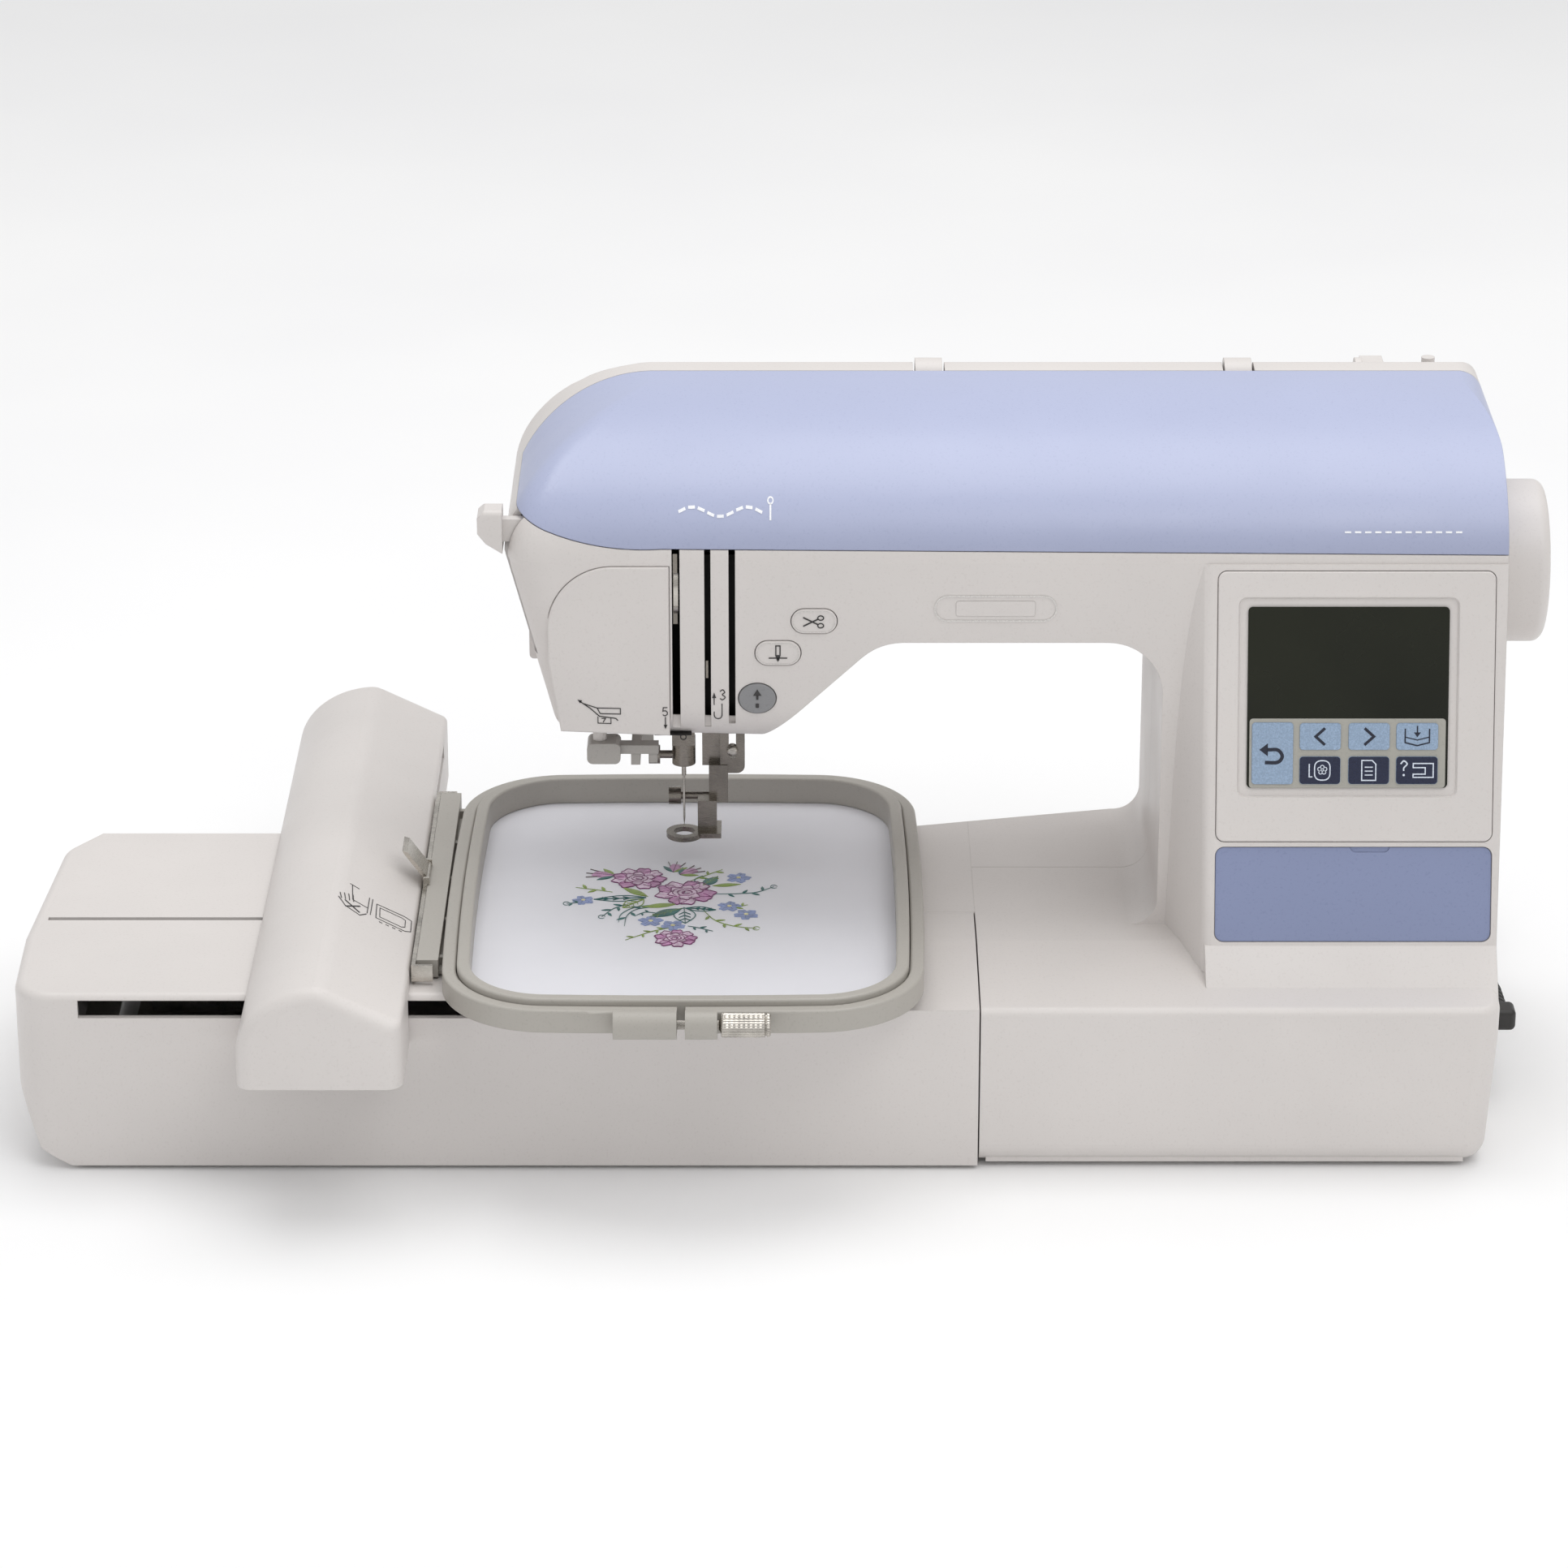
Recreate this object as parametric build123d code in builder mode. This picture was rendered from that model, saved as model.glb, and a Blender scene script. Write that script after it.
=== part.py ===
from build123d import *
import math
import os

os.makedirs("parts", exist_ok=True)

# Sewing and embroidery machine, in millimetres. +Z is up, +X runs from the needle to the
# hand wheel, +Y runs to the back. The origin is on the table, under the middle of the whole
# machine with its embroidery unit and hoop.

# ---- driving dimensions: machine body ----
base_front = -128.0
body_back = 78.0
head_front = -53.0
shell_split = 10.0
floor_gap = 1.5
bed_z = 82.0
bed_lip_z = 75.0
bed_slope_y = -70.0
top_z = 300.0
dome_top_z = top_z + 0.1  # the end dome would peak just above the flat top, so the two faces cross
right_x = 309.0
base_left = 84.0
column_left = 163.0
wall = 3.0
crown_y = 45.0
crown_z = 250.0
end_round_x = 65.0
head_left = -120.0
head_corner_r = 18.0
base_corner_r = 10.0
cover_back = 58.0
seam = 0.4
handle_ends = ((58.0, 70.0), (195.0, 207.0))
handle_y, handle_z = 69.0, 291.5
inlet_y = (-58.0, -38.0)
inlet_z = (26.5, 44.5)
switch_y = (0.0, 24.0)
switch_pivot = (299.0, 30.0)

# ---- driving dimensions: panel on the leaning column ----
panel_left = 181.0
panel_foot = (-96.0, 91.0)
panel_head = (-54.0, 250.0)
panel_mid_x = 244.5
panel_width = 119.0
window_mid_x = 241.2
window_size = (86.0, 78.0)
window_low = 68.5
bezel_low, bezel_high = 45.0, 162.0
insert_low, insert_high = 1.5, 43.0

# ---- driving dimensions: shafts, needle and hook ----
shaft_y = 4.0
upper_shaft_z = 231.0
lower_shaft_z = 45.0
upper_shaft_r = 5.0
shaft_hole_r = 12.0
lower_shaft_r = 4.0
running_gap = 0.05
needle_x = -44.5
needle_y = 7.0
needle_bar_r = 3.2
presser_x = -31.0
presser_y = 26.0
presser_bar_r = 3.5
crank_throw = 15.5
hook_y = -15.0
hook_r = 17.0
motor_y = -30.0
motor_z = 45.0
threader_rod = (-80.0, -39.0)

# thread slots in the head's front (left, right, foot), and push buttons (x, z, width, height)
slot_xs = ((-48.0, -44.6, 150), (-34.1, -31.4, 174), (-23.7, -20.9, 176))
button_ovals = {
    "scissors_button": (12.9, 224.0, 19.5, 11.0),
    "needle_button": (-2.6, 209.4, 19.5, 11.0),
    "start_button": (-11.5, 188.5, 16.0, 13.6)}

# ---- driving dimensions: free arm ----
arm_left = -115.0
arm_front = -39.4
arm_back = 54.0
arm_low = 22.0
arm_root_back = 63.0
flare_x = (45.0, 150.0)

# ---- driving dimensions: embroidery unit, carriage and hoop ----
unit_left = -331.0
unit_back = 52.0
unit_gap = 0.6
unit_wall = 3.0
top_slot_y = -47.0
carriage_left = -230.0
carriage_right = -160.0
carriage_front = -175.0
carriage_back = 180.0
carriage_top = 105.0
shoulder_z = 89.0
ridge_x = -193.0
carriage_bottom = 60.0
arch_z = 82.6
cover_wall = 2.5
slider = (-215.0, -175.0)
rail_ys = (-105.0, -65.0)
rail_z = 55.0
rail_r = 4.0
arm_rod_x = -200.0
arm_rod_z = 95.0
hoop_mid = (-43.0, -37.0)
hoop_size = (208.0, 262.0)
hoop_low = 83.0
fabric_top = 83.5
hoop_screw_y = -173.9
hoop_screw_z = 89.7
lug_spans = ((-71.4, -44.8), (-41.3, -27.8))
lug_r = 6.1

# ---- driving dimensions: mains lead ----
plug_x, plug_z = 315.5, 35.5
lead_start_y = -14.0
cord_r = 3.5
cord_length = 1800.0
coil_mid = (276.0, 131.5)
coil_mid_r = 37.0
coil_outer_r = 49.0


# ---- helpers ----
def block(x0, x1, y0, y1, z0, z1, mode=Mode.ADD):
    """A box between two corners, in the part being built."""
    with Locations(((x0 + x1) / 2, (y0 + y1) / 2, (z0 + z1) / 2)):
        Box(x1 - x0, y1 - y0, z1 - z0, mode=mode)


def rod_x(radius, x0, x1, y, z, mode=Mode.ADD):
    """A round bar along X."""
    with Locations(((x0 + x1) / 2, y, z)):
        Cylinder(radius, x1 - x0, rotation=(0, 90, 0), mode=mode)


def rod_y(radius, y0, y1, x, z, mode=Mode.ADD):
    """A round bar along Y."""
    with Locations((x, (y0 + y1) / 2, z)):
        Cylinder(radius, y1 - y0, rotation=(90, 0, 0), mode=mode)


def rod_z(radius, z0, z1, x, y, mode=Mode.ADD):
    """A round bar along Z."""
    with Locations((x, y, (z0 + z1) / 2)):
        Cylinder(radius, z1 - z0, mode=mode)


def nearest(shapes, *points):
    """The shape nearest to each point."""
    return [shapes.sort_by_distance(point)[0] for point in points]


def write(part, label):
    """Name a finished piece and write it out."""
    part.label = label
    export_step(part, f"parts/{label}.step")


def back_flare(inset, z0, z1):
    """Corner behind the free arm's root that the bed's slanting back edge leaves free."""
    slope = (body_back - arm_root_back) / (flare_x[1] - base_left)
    back_y = arm_root_back - inset * 1.03
    with BuildSketch(Plane.XY.offset(z0), mode=Mode.PRIVATE) as plan:
        with BuildLine():
            Polyline(
                (base_left - 6, back_y - 6 * slope),
                (flare_x[1] + 10, back_y + (flare_x[1] + 10 - base_left) * slope),
                (base_left - 6, body_back + 12), close=True)
        make_face()
    extrude(plan.sketch, amount=z1 - z0, mode=Mode.SUBTRACT)


# ---- body shells ----
def body_form(inset):
    """Head, arm, column and base as one solid, drawn in by inset on every side."""
    slant = 0.39 * inset
    with BuildPart() as form:
        with BuildSketch(Plane.YZ.offset(head_left - 5)):
            with BuildLine():
                Polyline(
                    (crown_y, top_z - inset), (body_back - inset, top_z - inset),
                    (body_back - inset, floor_gap + inset), (base_front + inset, floor_gap + inset),
                    (base_front + inset, bed_lip_z - inset), (bed_slope_y, bed_z - inset),
                    (head_front + inset, bed_z - inset), (head_front + inset, crown_z))
                EllipticalCenterArc(
                    (crown_y, crown_z), crown_y - head_front - inset, top_z - crown_z - inset,
                    90, arc_size=90)
            make_face()
        extrude(amount=right_x - head_left + 10)
        if not inset:
            for height, face_y in (
                    (panel_foot[1] - 12, panel_foot[0] - 3.2), (panel_head[1], panel_head[0])):
                with BuildSketch(Plane.XY.offset(height)) as column_plan:
                    with BuildLine():
                        Polyline(
                            (column_left, -40), (panel_left, face_y), (right_x + 1, face_y),
                            (right_x + 1, -40), close=True)
                    make_face()
                    fillet(nearest(column_plan.vertices(), (panel_left, face_y)), 6)
            loft(ruled=True)
            with BuildSketch(Plane.YZ.offset(panel_left)):
                with BuildLine():
                    Polyline(
                        (base_front + 16, bed_lip_z), panel_foot, (-40, panel_foot[1]),
                        (-40, bed_lip_z - 10), (base_front + 16, bed_lip_z - 10), close=True)
                make_face()
            extrude(amount=right_x - panel_left + 1)
        with BuildSketch(Plane.XZ.offset(inset - body_back)) as front_view:
            with BuildLine():
                Polyline(
                    (head_left + inset, crown_z), (-98 + inset, 168 + inset), (-11 - slant, 166 + inset),
                    (41 - slant, 214 + inset), (column_left + inset, 214 + inset),
                    (column_left + inset, bed_z - inset), (base_left + inset, bed_z - inset),
                    (base_left + inset, floor_gap + inset), (302 - inset, floor_gap + inset),
                    (306 - inset, 60), (right_x - inset, 240), (right_x - inset, dome_top_z - inset),
                    (head_left + end_round_x, dome_top_z - inset))
                EllipticalCenterArc(
                    (head_left + end_round_x, crown_z), end_round_x - inset, dome_top_z - crown_z - inset,
                    90, arc_size=90)
            make_face()
            for corner, radius in (
                    ((-98, 168), 9 - inset), ((41, 214), 26 + inset), ((column_left, 214), 24 + inset),
                    ((column_left, bed_z), 12 + inset), ((302, floor_gap), 10 - inset),
                    ((right_x, top_z), 12 - inset)):
                fillet(nearest(front_view.vertices(), corner), radius)
        extrude(amount=body_back - base_front - inset * 2, mode=Mode.INTERSECT)
        back_flare(inset, floor_gap - 1, 100)
        head_corner = nearest(form.edges(), (-109, head_front + inset, 209), (-97, -15, 288))
        fillet(head_corner, head_corner_r - inset)
        base_corner = nearest(form.edges(), (306 - inset, base_front + inset, 30))
        fillet(base_corner, base_corner_r - inset)
    return form.part


def cover_region(grow):
    """Space of the blue cover: above its lower edge and in front of the rear strip."""
    with BuildPart() as region:
        with BuildSketch(Plane.XZ.offset(-cover_back - grow)):
            with BuildLine():
                Polyline((-52, 256.5), (right_x + 5, 254), (right_x + 5, 320), (-130, 320), (-130, 279))
                ThreePointArc((-130, 279), (-95, 261.5), (-52, 256.5))
            make_face()
            if grow:
                offset(amount=grow, kind=Kind.INTERSECTION)
        extrude(amount=130)
        with BuildSketch(Plane.XY.offset(240)):
            with BuildLine():
                Polyline(
                    (-60, cover_back), (right_x + 5, cover_back), (right_x + 5, -80), (-130, -80), (-130, 10))
                ThreePointArc((-130, 10), (-108, 42), (-60, cover_back))
            make_face()
            if grow:
                offset(amount=grow, kind=Kind.INTERSECTION)
        extrude(amount=90, mode=Mode.INTERSECT)
    return region.part


with BuildPart() as body:
    add(body_form(0))
    fillet(nearest(body.edges(), (120, body_back, top_z)), 9)
    fillet(nearest(body.edges(), (130, base_front, bed_lip_z)), 4)
body_inner = body_form(wall)

# openings that both shells share
with BuildPart() as shell_cuts:
    block(base_left + 3, 293, base_front + 3, body_back - 3, -1, 6)
    back_flare(wall, -2, 7)
    block(base_left - 1, base_left + 4, -33, 48, 26, 76)
    block(base_left - 1, base_left + 4, -30.2, 45.2, -1, 8.2)
    rod_x(shaft_hole_r, 295, right_x + 5, shaft_y, upper_shaft_z)
    block(-55, -22, -9, 38, 150, 172)

# panel plane on the leaning column front; local y runs up the slope
panel_lean = Plane(
    origin=(panel_mid_x, panel_foot[0], panel_foot[1]), x_dir=(1, 0, 0),
    z_dir=(0, panel_foot[1] - panel_head[1], panel_head[0] - panel_foot[0]))
window_mid = (window_mid_x - panel_mid_x, window_low + window_size[1] / 2)

with BuildPart() as panel_pockets:
    with BuildSketch(panel_lean.offset(-1.6)):
        with Locations((0, (bezel_low + bezel_high) / 2)):
            RectangleRounded(panel_width, bezel_high - bezel_low, 4)
        with Locations((0, (insert_low + insert_high) / 2)):
            RectangleRounded(panel_width, insert_high - insert_low, 4)
    extrude(amount=12)
    with BuildSketch(panel_lean.offset(-60)):
        with Locations(window_mid):
            Rectangle(window_size[0] + 4, window_size[1] + 4)
    extrude(amount=70)


def oval(size_x, size_z):
    """Outline of a push button: an oval, or an ellipse when it is nearly round."""
    with BuildSketch(mode=Mode.PRIVATE) as outline:
        if size_z > 12:
            Ellipse(size_x / 2, size_z / 2)
        else:
            SlotOverall(size_x, size_z)
    return outline.sketch


with BuildPart() as head_cuts:
    for slot_left, slot_right, slot_foot in slot_xs:
        block(slot_left, slot_right, head_front - 2, head_front + 4, slot_foot, 262)
    for oval_x, oval_z, oval_wide, oval_high in button_ovals.values():
        with BuildSketch(Plane.XZ.offset(2 - head_front)):
            with Locations((oval_x, oval_z)):
                add(oval(oval_wide + 0.7, oval_high + 0.7))
        extrude(amount=-8)
    block(-125, -92, -42.6, -35.4, 205, 274)
    block(-125, -103.9, -25.1, -11.9, 195.9, 212.1)
    rod_z(3.8, 160, 178, *threader_rod)
    block(283, 312, *inlet_y, *inlet_z)
    with BuildSketch(Plane.XZ.offset(1 - head_front)):
        with BuildLine():
            Polyline((-48.9, 171), (-96.5, 173), (-101.5, 205), (-101.5, 222))
            ThreePointArc((-101.5, 222), (-93, 241), (-74, 249))
            Polyline((-74, 249), (-48.9, 249), (-48.9, 171))
        make_face()
    extrude(amount=-2.2)

with BuildPart() as front_shell:
    add(body.part)
    add(body_inner, mode=Mode.SUBTRACT)
    block(head_left - 5, right_x + 5, shell_split, body_back + 5, -5, top_z + 5, mode=Mode.SUBTRACT)
    add(cover_region(seam), mode=Mode.SUBTRACT)
    add(shell_cuts.part, mode=Mode.SUBTRACT)
    add(panel_pockets.part, mode=Mode.SUBTRACT)
    add(head_cuts.part, mode=Mode.SUBTRACT)
write(front_shell.part, "front_shell")

lever_slot = (presser_x - 6, presser_x + 6)

with BuildPart() as rear_shell:
    add(body.part)
    add(body_inner, mode=Mode.SUBTRACT)
    block(head_left - 5, right_x + 5, base_front - 5, shell_split + 0.3, -5, top_z + 5, mode=Mode.SUBTRACT)
    add(cover_region(seam), mode=Mode.SUBTRACT)
    add(shell_cuts.part, mode=Mode.SUBTRACT)
    for end_left, end_right in handle_ends:
        block(end_left - 1, end_right + 1, 57.5, 85, 270, 305, mode=Mode.SUBTRACT)
    block(*lever_slot, 70, 85, 142, 207, mode=Mode.SUBTRACT)
    block(290, 312, switch_y[0] + 11, switch_y[1], 22, 38, mode=Mode.SUBTRACT)
    with GridLocations(9, 1, 12, 1):
        with Locations((240, body_back, 40)):
            Box(3, 12, 30, mode=Mode.SUBTRACT)
write(rear_shell.part, "rear_shell")

with BuildPart() as top_cover:
    add(body.part)
    add(body_form(2.6), mode=Mode.SUBTRACT)
    add(cover_region(0), mode=Mode.INTERSECT)
write(top_cover.part, "top_cover")

# ---- fixed covers and plates of the machine ----
with BuildPart() as base_plate:
    block(base_left + 3, 293, base_front + 3, body_back - 3, 2, 5)
    back_flare(wall, 1, 6)
    block(-102, base_left + 3, -30, 45, 2, 8)
    fillet(base_plate.edges().filter_by(Axis.Z).group_by(Axis.X)[0], 14)
write(base_plate.part, "base_plate")


def arm_plan(inset, height):
    """Plan of the free arm: rounded at its free end, and wider at its root on the back side."""
    with BuildSketch(Plane.XY.offset(height), mode=Mode.PRIVATE) as plan:
        with BuildLine():
            Polyline(
                (arm_left + inset, arm_front + inset), (base_left + inset, arm_front + inset),
                (base_left + inset, arm_root_back - inset), (flare_x[0], arm_back - inset),
                (arm_left + inset, arm_back - inset), close=True)
        make_face()
        fillet(plan.vertices().group_by(Axis.X)[0], 14 - inset)
    return plan.sketch


with BuildPart() as free_arm_shell:
    extrude(arm_plan(0, arm_low), amount=bed_z - arm_low)
    fillet(nearest(free_arm_shell.edges(), (0, arm_front, bed_z)), 1.2)
    fillet(nearest(free_arm_shell.edges(), (0, arm_front, arm_low)), 4)
    extrude(arm_plan(wall, arm_low + wall), amount=bed_z - arm_low - 2 * wall, mode=Mode.SUBTRACT)
    block(-78, -12, -34, 36, 78, 83, mode=Mode.SUBTRACT)
write(free_arm_shell.part, "free_arm_shell")

with BuildPart() as needle_plate:
    block(-78, -12, -34, 36, 79.6, 82.1)
    with BuildSketch(Plane.XY.offset(79)):
        with Locations((needle_x, -17.5)):
            RectangleRounded(43, 29, 5)
    extrude(amount=4, mode=Mode.SUBTRACT)
    rod_z(2.2, 79, 83, needle_x, needle_y, mode=Mode.SUBTRACT)
    for hole_x in (-72, -18):
        rod_z(1.6, 79, 83, hole_x, 29, mode=Mode.SUBTRACT)
write(needle_plate.part, "needle_plate")

with BuildPart() as bobbin_cover:
    with BuildSketch(Plane.XY.offset(79.8)):
        with Locations((needle_x, -17.5)):
            RectangleRounded(42.6, 28.6, 4.8)
    extrude(amount=2.2)
    rod_z(6, 81.4, 83, needle_x, -27, mode=Mode.SUBTRACT)
write(bobbin_cover.part, "bobbin_cover")

with BuildPart() as face_cover:
    with BuildSketch(Plane.XZ.offset(1.1 - head_front)):
        with BuildLine():
            Polyline((-49.2, 171.3), (-96.3, 173.3), (-101.2, 205), (-101.2, 222))
            ThreePointArc((-101.2, 222), (-92.7, 240.8), (-74, 248.7))
            Polyline((-74, 248.7), (-49.2, 248.7), (-49.2, 171.3))
        make_face()
    extrude(amount=-2.2)
    fillet(face_cover.faces().sort_by(Axis.Y)[0].edges(), 0.9)
write(face_cover.part, "face_cover")

# dark channel behind the two right-hand thread slots
with BuildPart() as thread_channel:
    block(-41.5, -20.4, head_front + wall, -38, 185.2, 250)
    block(-41.5, -20.4, -41, -38, 171, 186)
    block(-36, -30, head_front + wall - 1, -41, 173, 251, mode=Mode.SUBTRACT)
    block(-24.8, -21, head_front + wall - 1, -41, 175, 251, mode=Mode.SUBTRACT)
write(thread_channel.part, "thread_channel")

with BuildPart() as panel_bezel:
    with BuildSketch(panel_lean.offset(-1.6)):
        with Locations((0, (bezel_low + bezel_high) / 2)):
            RectangleRounded(panel_width - 0.6, bezel_high - bezel_low - 0.6, 3.7)
    extrude(amount=2.4)
    fillet(panel_bezel.faces().sort_by(Axis(panel_lean.origin, panel_lean.z_dir))[-1].edges(), 0.8)
    with BuildSketch(panel_lean.offset(-0.6)):
        with Locations(window_mid):
            RectangleRounded(window_size[0] + 7, window_size[1] + 7, 3)
    extrude(amount=3, taper=-25, mode=Mode.SUBTRACT)
    with BuildSketch(panel_lean.offset(-2)):
        with Locations(window_mid):
            Rectangle(window_size[0] - 3, window_size[1] - 3)
    extrude(amount=4, mode=Mode.SUBTRACT)
write(panel_bezel.part, "panel_bezel")

with BuildPart() as display_window:
    with BuildSketch(panel_lean.offset(-0.6)):
        with Locations(window_mid):
            RectangleRounded(window_size[0], window_size[1], 2)
    extrude(amount=0.8)
write(display_window.part, "display_window")

# seven touch keys printed under the film: a tall return key and two rows of three
key_columns = ((-18.5, 17.6), (2.4, 17.6), (23.0, 17.9))
key_rows = ((90.8, 11.6), (76.2, 12.0))
with BuildPart() as touch_keys:
    with BuildSketch(panel_lean.offset(0.2)):
        with Locations((-35.4, 83.5)):
            RectangleRounded(17.7, 26.7, 1.5)
        for column_x, key_wide in key_columns:
            for row_w, key_high in key_rows:
                with Locations((column_x + 3.5, row_w)):
                    RectangleRounded(key_wide, key_high, 1.5)
    extrude(amount=0.4)
write(touch_keys.part, "touch_keys")

with BuildPart() as accent_insert:
    with BuildSketch(panel_lean.offset(-1.6)):
        with Locations((0, (insert_low + insert_high) / 2)):
            RectangleRounded(panel_width - 0.6, insert_high - insert_low - 0.6, 3.7)
    extrude(amount=0.9)
    with BuildSketch(panel_lean.offset(-1.2)):
        with Locations((7, insert_high)):
            SlotOverall(17, 5)
    extrude(amount=2, mode=Mode.SUBTRACT)
write(accent_insert.part, "accent_insert")

# ---- inner frame, shafts and drive ----
upper_plates = ((-12, -4), (110, 118), (285, 292))
lower_plates = ((-20, -12), (212, 220))
bush_r = 8.0
guide_levels = ((178, 190), (250, 257))
lever_pivot = (62.0, 197.5)
with BuildPart() as inner_frame:
    block(-95, 222, 30, 44, 28, 44)
    block(205, 222, 30, 44, 28, 275)
    block(-52, 292, 38, 44, 262, 275)
    block(-52, -24, 38, 44, 178, 275)
    for plate_left, plate_right in upper_plates:
        block(plate_left, plate_right, -8, 44, 219, 275)
        rod_x(bush_r, plate_left - 1, plate_right + 1, shaft_y, upper_shaft_z, mode=Mode.SUBTRACT)
    for plate_left, plate_right in lower_plates:
        block(plate_left, plate_right, -8, 44, 28, 57)
        rod_x(bush_r, plate_left - 1, plate_right + 1, shaft_y, lower_shaft_z, mode=Mode.SUBTRACT)
    for guide_low, guide_high in guide_levels:
        block(-53, -23, -2, 44, guide_low, guide_high)
        for bar_r, bar_x, bar_y in (
                (needle_bar_r, needle_x, needle_y), (presser_bar_r, presser_x, presser_y)):
            rod_z(bar_r + running_gap, guide_low - 1, guide_high + 1, bar_x, bar_y, mode=Mode.SUBTRACT)
    for ear_left, ear_right in ((-38, -35), (-27, -24)):
        block(ear_left, ear_right, 43, 68, 178, 204)
    rod_x(2, -38, -24, *lever_pivot)
    block(-60, -29, -24, 36, 28, 34)
    rod_z(3, 34, 51, needle_x, hook_y)
write(inner_frame.part, "inner_frame")

with BuildPart() as shaft_bushes:
    for plates, plate_z, bore in (
            (upper_plates, upper_shaft_z, upper_shaft_r), (lower_plates, lower_shaft_z, lower_shaft_r)):
        for plate_left, plate_right in plates:
            rod_x(bush_r, plate_left, plate_right, shaft_y, plate_z)
            rod_x(bore + running_gap, plate_left, plate_right, shaft_y, plate_z, mode=Mode.SUBTRACT)
write(shaft_bushes.part, "shaft_bushes")

belt_pulley_x = (230.0, 245.0)
motor_pulley_x = (256.0, 266.0)
timing_r, drive_r, motor_pulley_r = 15.0, 30.0, 8.0
with BuildPart() as main_motor:
    rod_x(24, 128, 184, motor_y, motor_z)
    fillet(main_motor.edges().filter_by(GeomType.CIRCLE), 3)
    rod_x(7, 184, 190, motor_y, motor_z)
    block(134, 178, motor_y - 20, motor_y + 20, 5, 30)
write(main_motor.part, "main_motor")


def belt(low, high, inner_low, inner_high, thickness, x_span):
    """A closed belt round two pulleys on axes along X."""
    with BuildPart() as loop:
        for extra, mode in ((thickness, Mode.ADD), (0, Mode.SUBTRACT)):
            with BuildSketch(Plane.YZ.offset(x_span[0])):
                with Locations(low):
                    Circle(inner_low + extra)
                with Locations(high):
                    Circle(inner_high + extra)
                make_hull()
            extrude(amount=x_span[1] - x_span[0], mode=mode)
    return loop.part


pulley_gap = 0.3
with BuildPart() as belts:
    add(belt(
        (shaft_y, lower_shaft_z), (shaft_y, upper_shaft_z), timing_r + pulley_gap,
        timing_r + pulley_gap, 1.8, (232, 243)))
    add(belt(
        (motor_y, motor_z), (shaft_y, upper_shaft_z), motor_pulley_r + pulley_gap,
        drive_r + pulley_gap, 1.8, (258, 264)))
write(belts.part, "belts")

with BuildPart() as circuit_board:
    with BuildSketch(panel_lean.offset(-14)):
        with Locations(window_mid):
            Rectangle(84, 78)
    extrude(amount=1.6)
    with BuildSketch(panel_lean.offset(-12.4)):
        with Locations(window_mid):
            Rectangle(80, 72)
    extrude(amount=8)
write(circuit_board.part, "circuit_board")

with BuildPart() as cord_inlet:
    block(284, 302.2, *inlet_y, *inlet_z)
    block(291, 303, inlet_y[0] + 4, inlet_y[1] - 4, inlet_z[0] + 4, inlet_z[1] - 4, mode=Mode.SUBTRACT)
write(cord_inlet.part, "cord_inlet")

with BuildPart() as rubber_feet:
    for foot_x, foot_y in ((98, -112), (278, -112), (278, 62), (104, 50), (-88, 8)):
        rod_z(8, 0, 2, foot_x, foot_y)
write(rubber_feet.part, "rubber_feet")

with BuildPart() as case_screws:
    for screw_x, screw_z in ((-80, 240), (20, 285), (290, 285), (170, 60), (290, 60)):
        rod_y(3, body_back, body_back + 0.8, screw_x, screw_z)
        block(screw_x - 2.2, screw_x + 2.2, body_back + 0.2, body_back + 2, screw_z - 0.4, screw_z + 0.4,
              mode=Mode.SUBTRACT)
write(case_screws.part, "case_screws")

with BuildPart() as thread_cutter:
    block(-110.6, -104, -25, -12, 196, 212)
    fillet(thread_cutter.edges().filter_by(Axis.Y).group_by(Axis.X)[0], 2)
    block(-111, -107, -20, -18.8, 200, 215, mode=Mode.SUBTRACT)
write(thread_cutter.part, "thread_cutter")

wheel_face = (right_x + 1.5, 331.0)
wheel_r = 35.5
with BuildPart() as handwheel:
    rod_x(wheel_r, wheel_face[0], wheel_face[1], shaft_y, upper_shaft_z)
    fillet(handwheel.edges().group_by(Axis.X)[-1], 5)
    fillet(handwheel.edges().group_by(Axis.X)[0], 2)
    rod_x(11.5, 297, wheel_face[0], shaft_y, upper_shaft_z)
    rod_x(upper_shaft_r, 296, 330, shaft_y, upper_shaft_z, mode=Mode.SUBTRACT)
write(handwheel.part, "handwheel")

crank_x = (-34.0, -28.5)
with BuildPart() as upper_shaft:
    rod_x(upper_shaft_r, crank_x[0], 330, shaft_y, upper_shaft_z)
    rod_x(17, *crank_x, shaft_y, upper_shaft_z)
    rod_x(3, -38, crank_x[0], shaft_y, upper_shaft_z + crank_throw)
    rod_x(timing_r, *belt_pulley_x, shaft_y, upper_shaft_z)
    rod_x(drive_r, *motor_pulley_x, shaft_y, upper_shaft_z)
write(upper_shaft.part, "upper_shaft")

hook_gear_r = 9.5
with BuildPart() as lower_shaft:
    rod_x(lower_shaft_r, -56, 247, shaft_y, lower_shaft_z)
    rod_x(9, -52, -37, shaft_y, lower_shaft_z)
    rod_x(timing_r, *belt_pulley_x, shaft_y, lower_shaft_z)
write(lower_shaft.part, "lower_shaft")

with BuildPart() as rotary_hook:
    rod_z(hook_gear_r, 36, 50, needle_x, hook_y)
    rod_z(6, 50, 57, needle_x, hook_y)
    rod_z(hook_r, 57, 72, needle_x, hook_y)
    rod_z(hook_r - 2, 59, 73, needle_x, hook_y, mode=Mode.SUBTRACT)
    rod_z(3 + running_gap, 35, 53, needle_x, hook_y, mode=Mode.SUBTRACT)
    block(needle_x + 8, needle_x + 18, hook_y + 4, hook_y + 12, 66, 73, mode=Mode.SUBTRACT)
write(rotary_hook.part, "rotary_hook")

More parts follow.
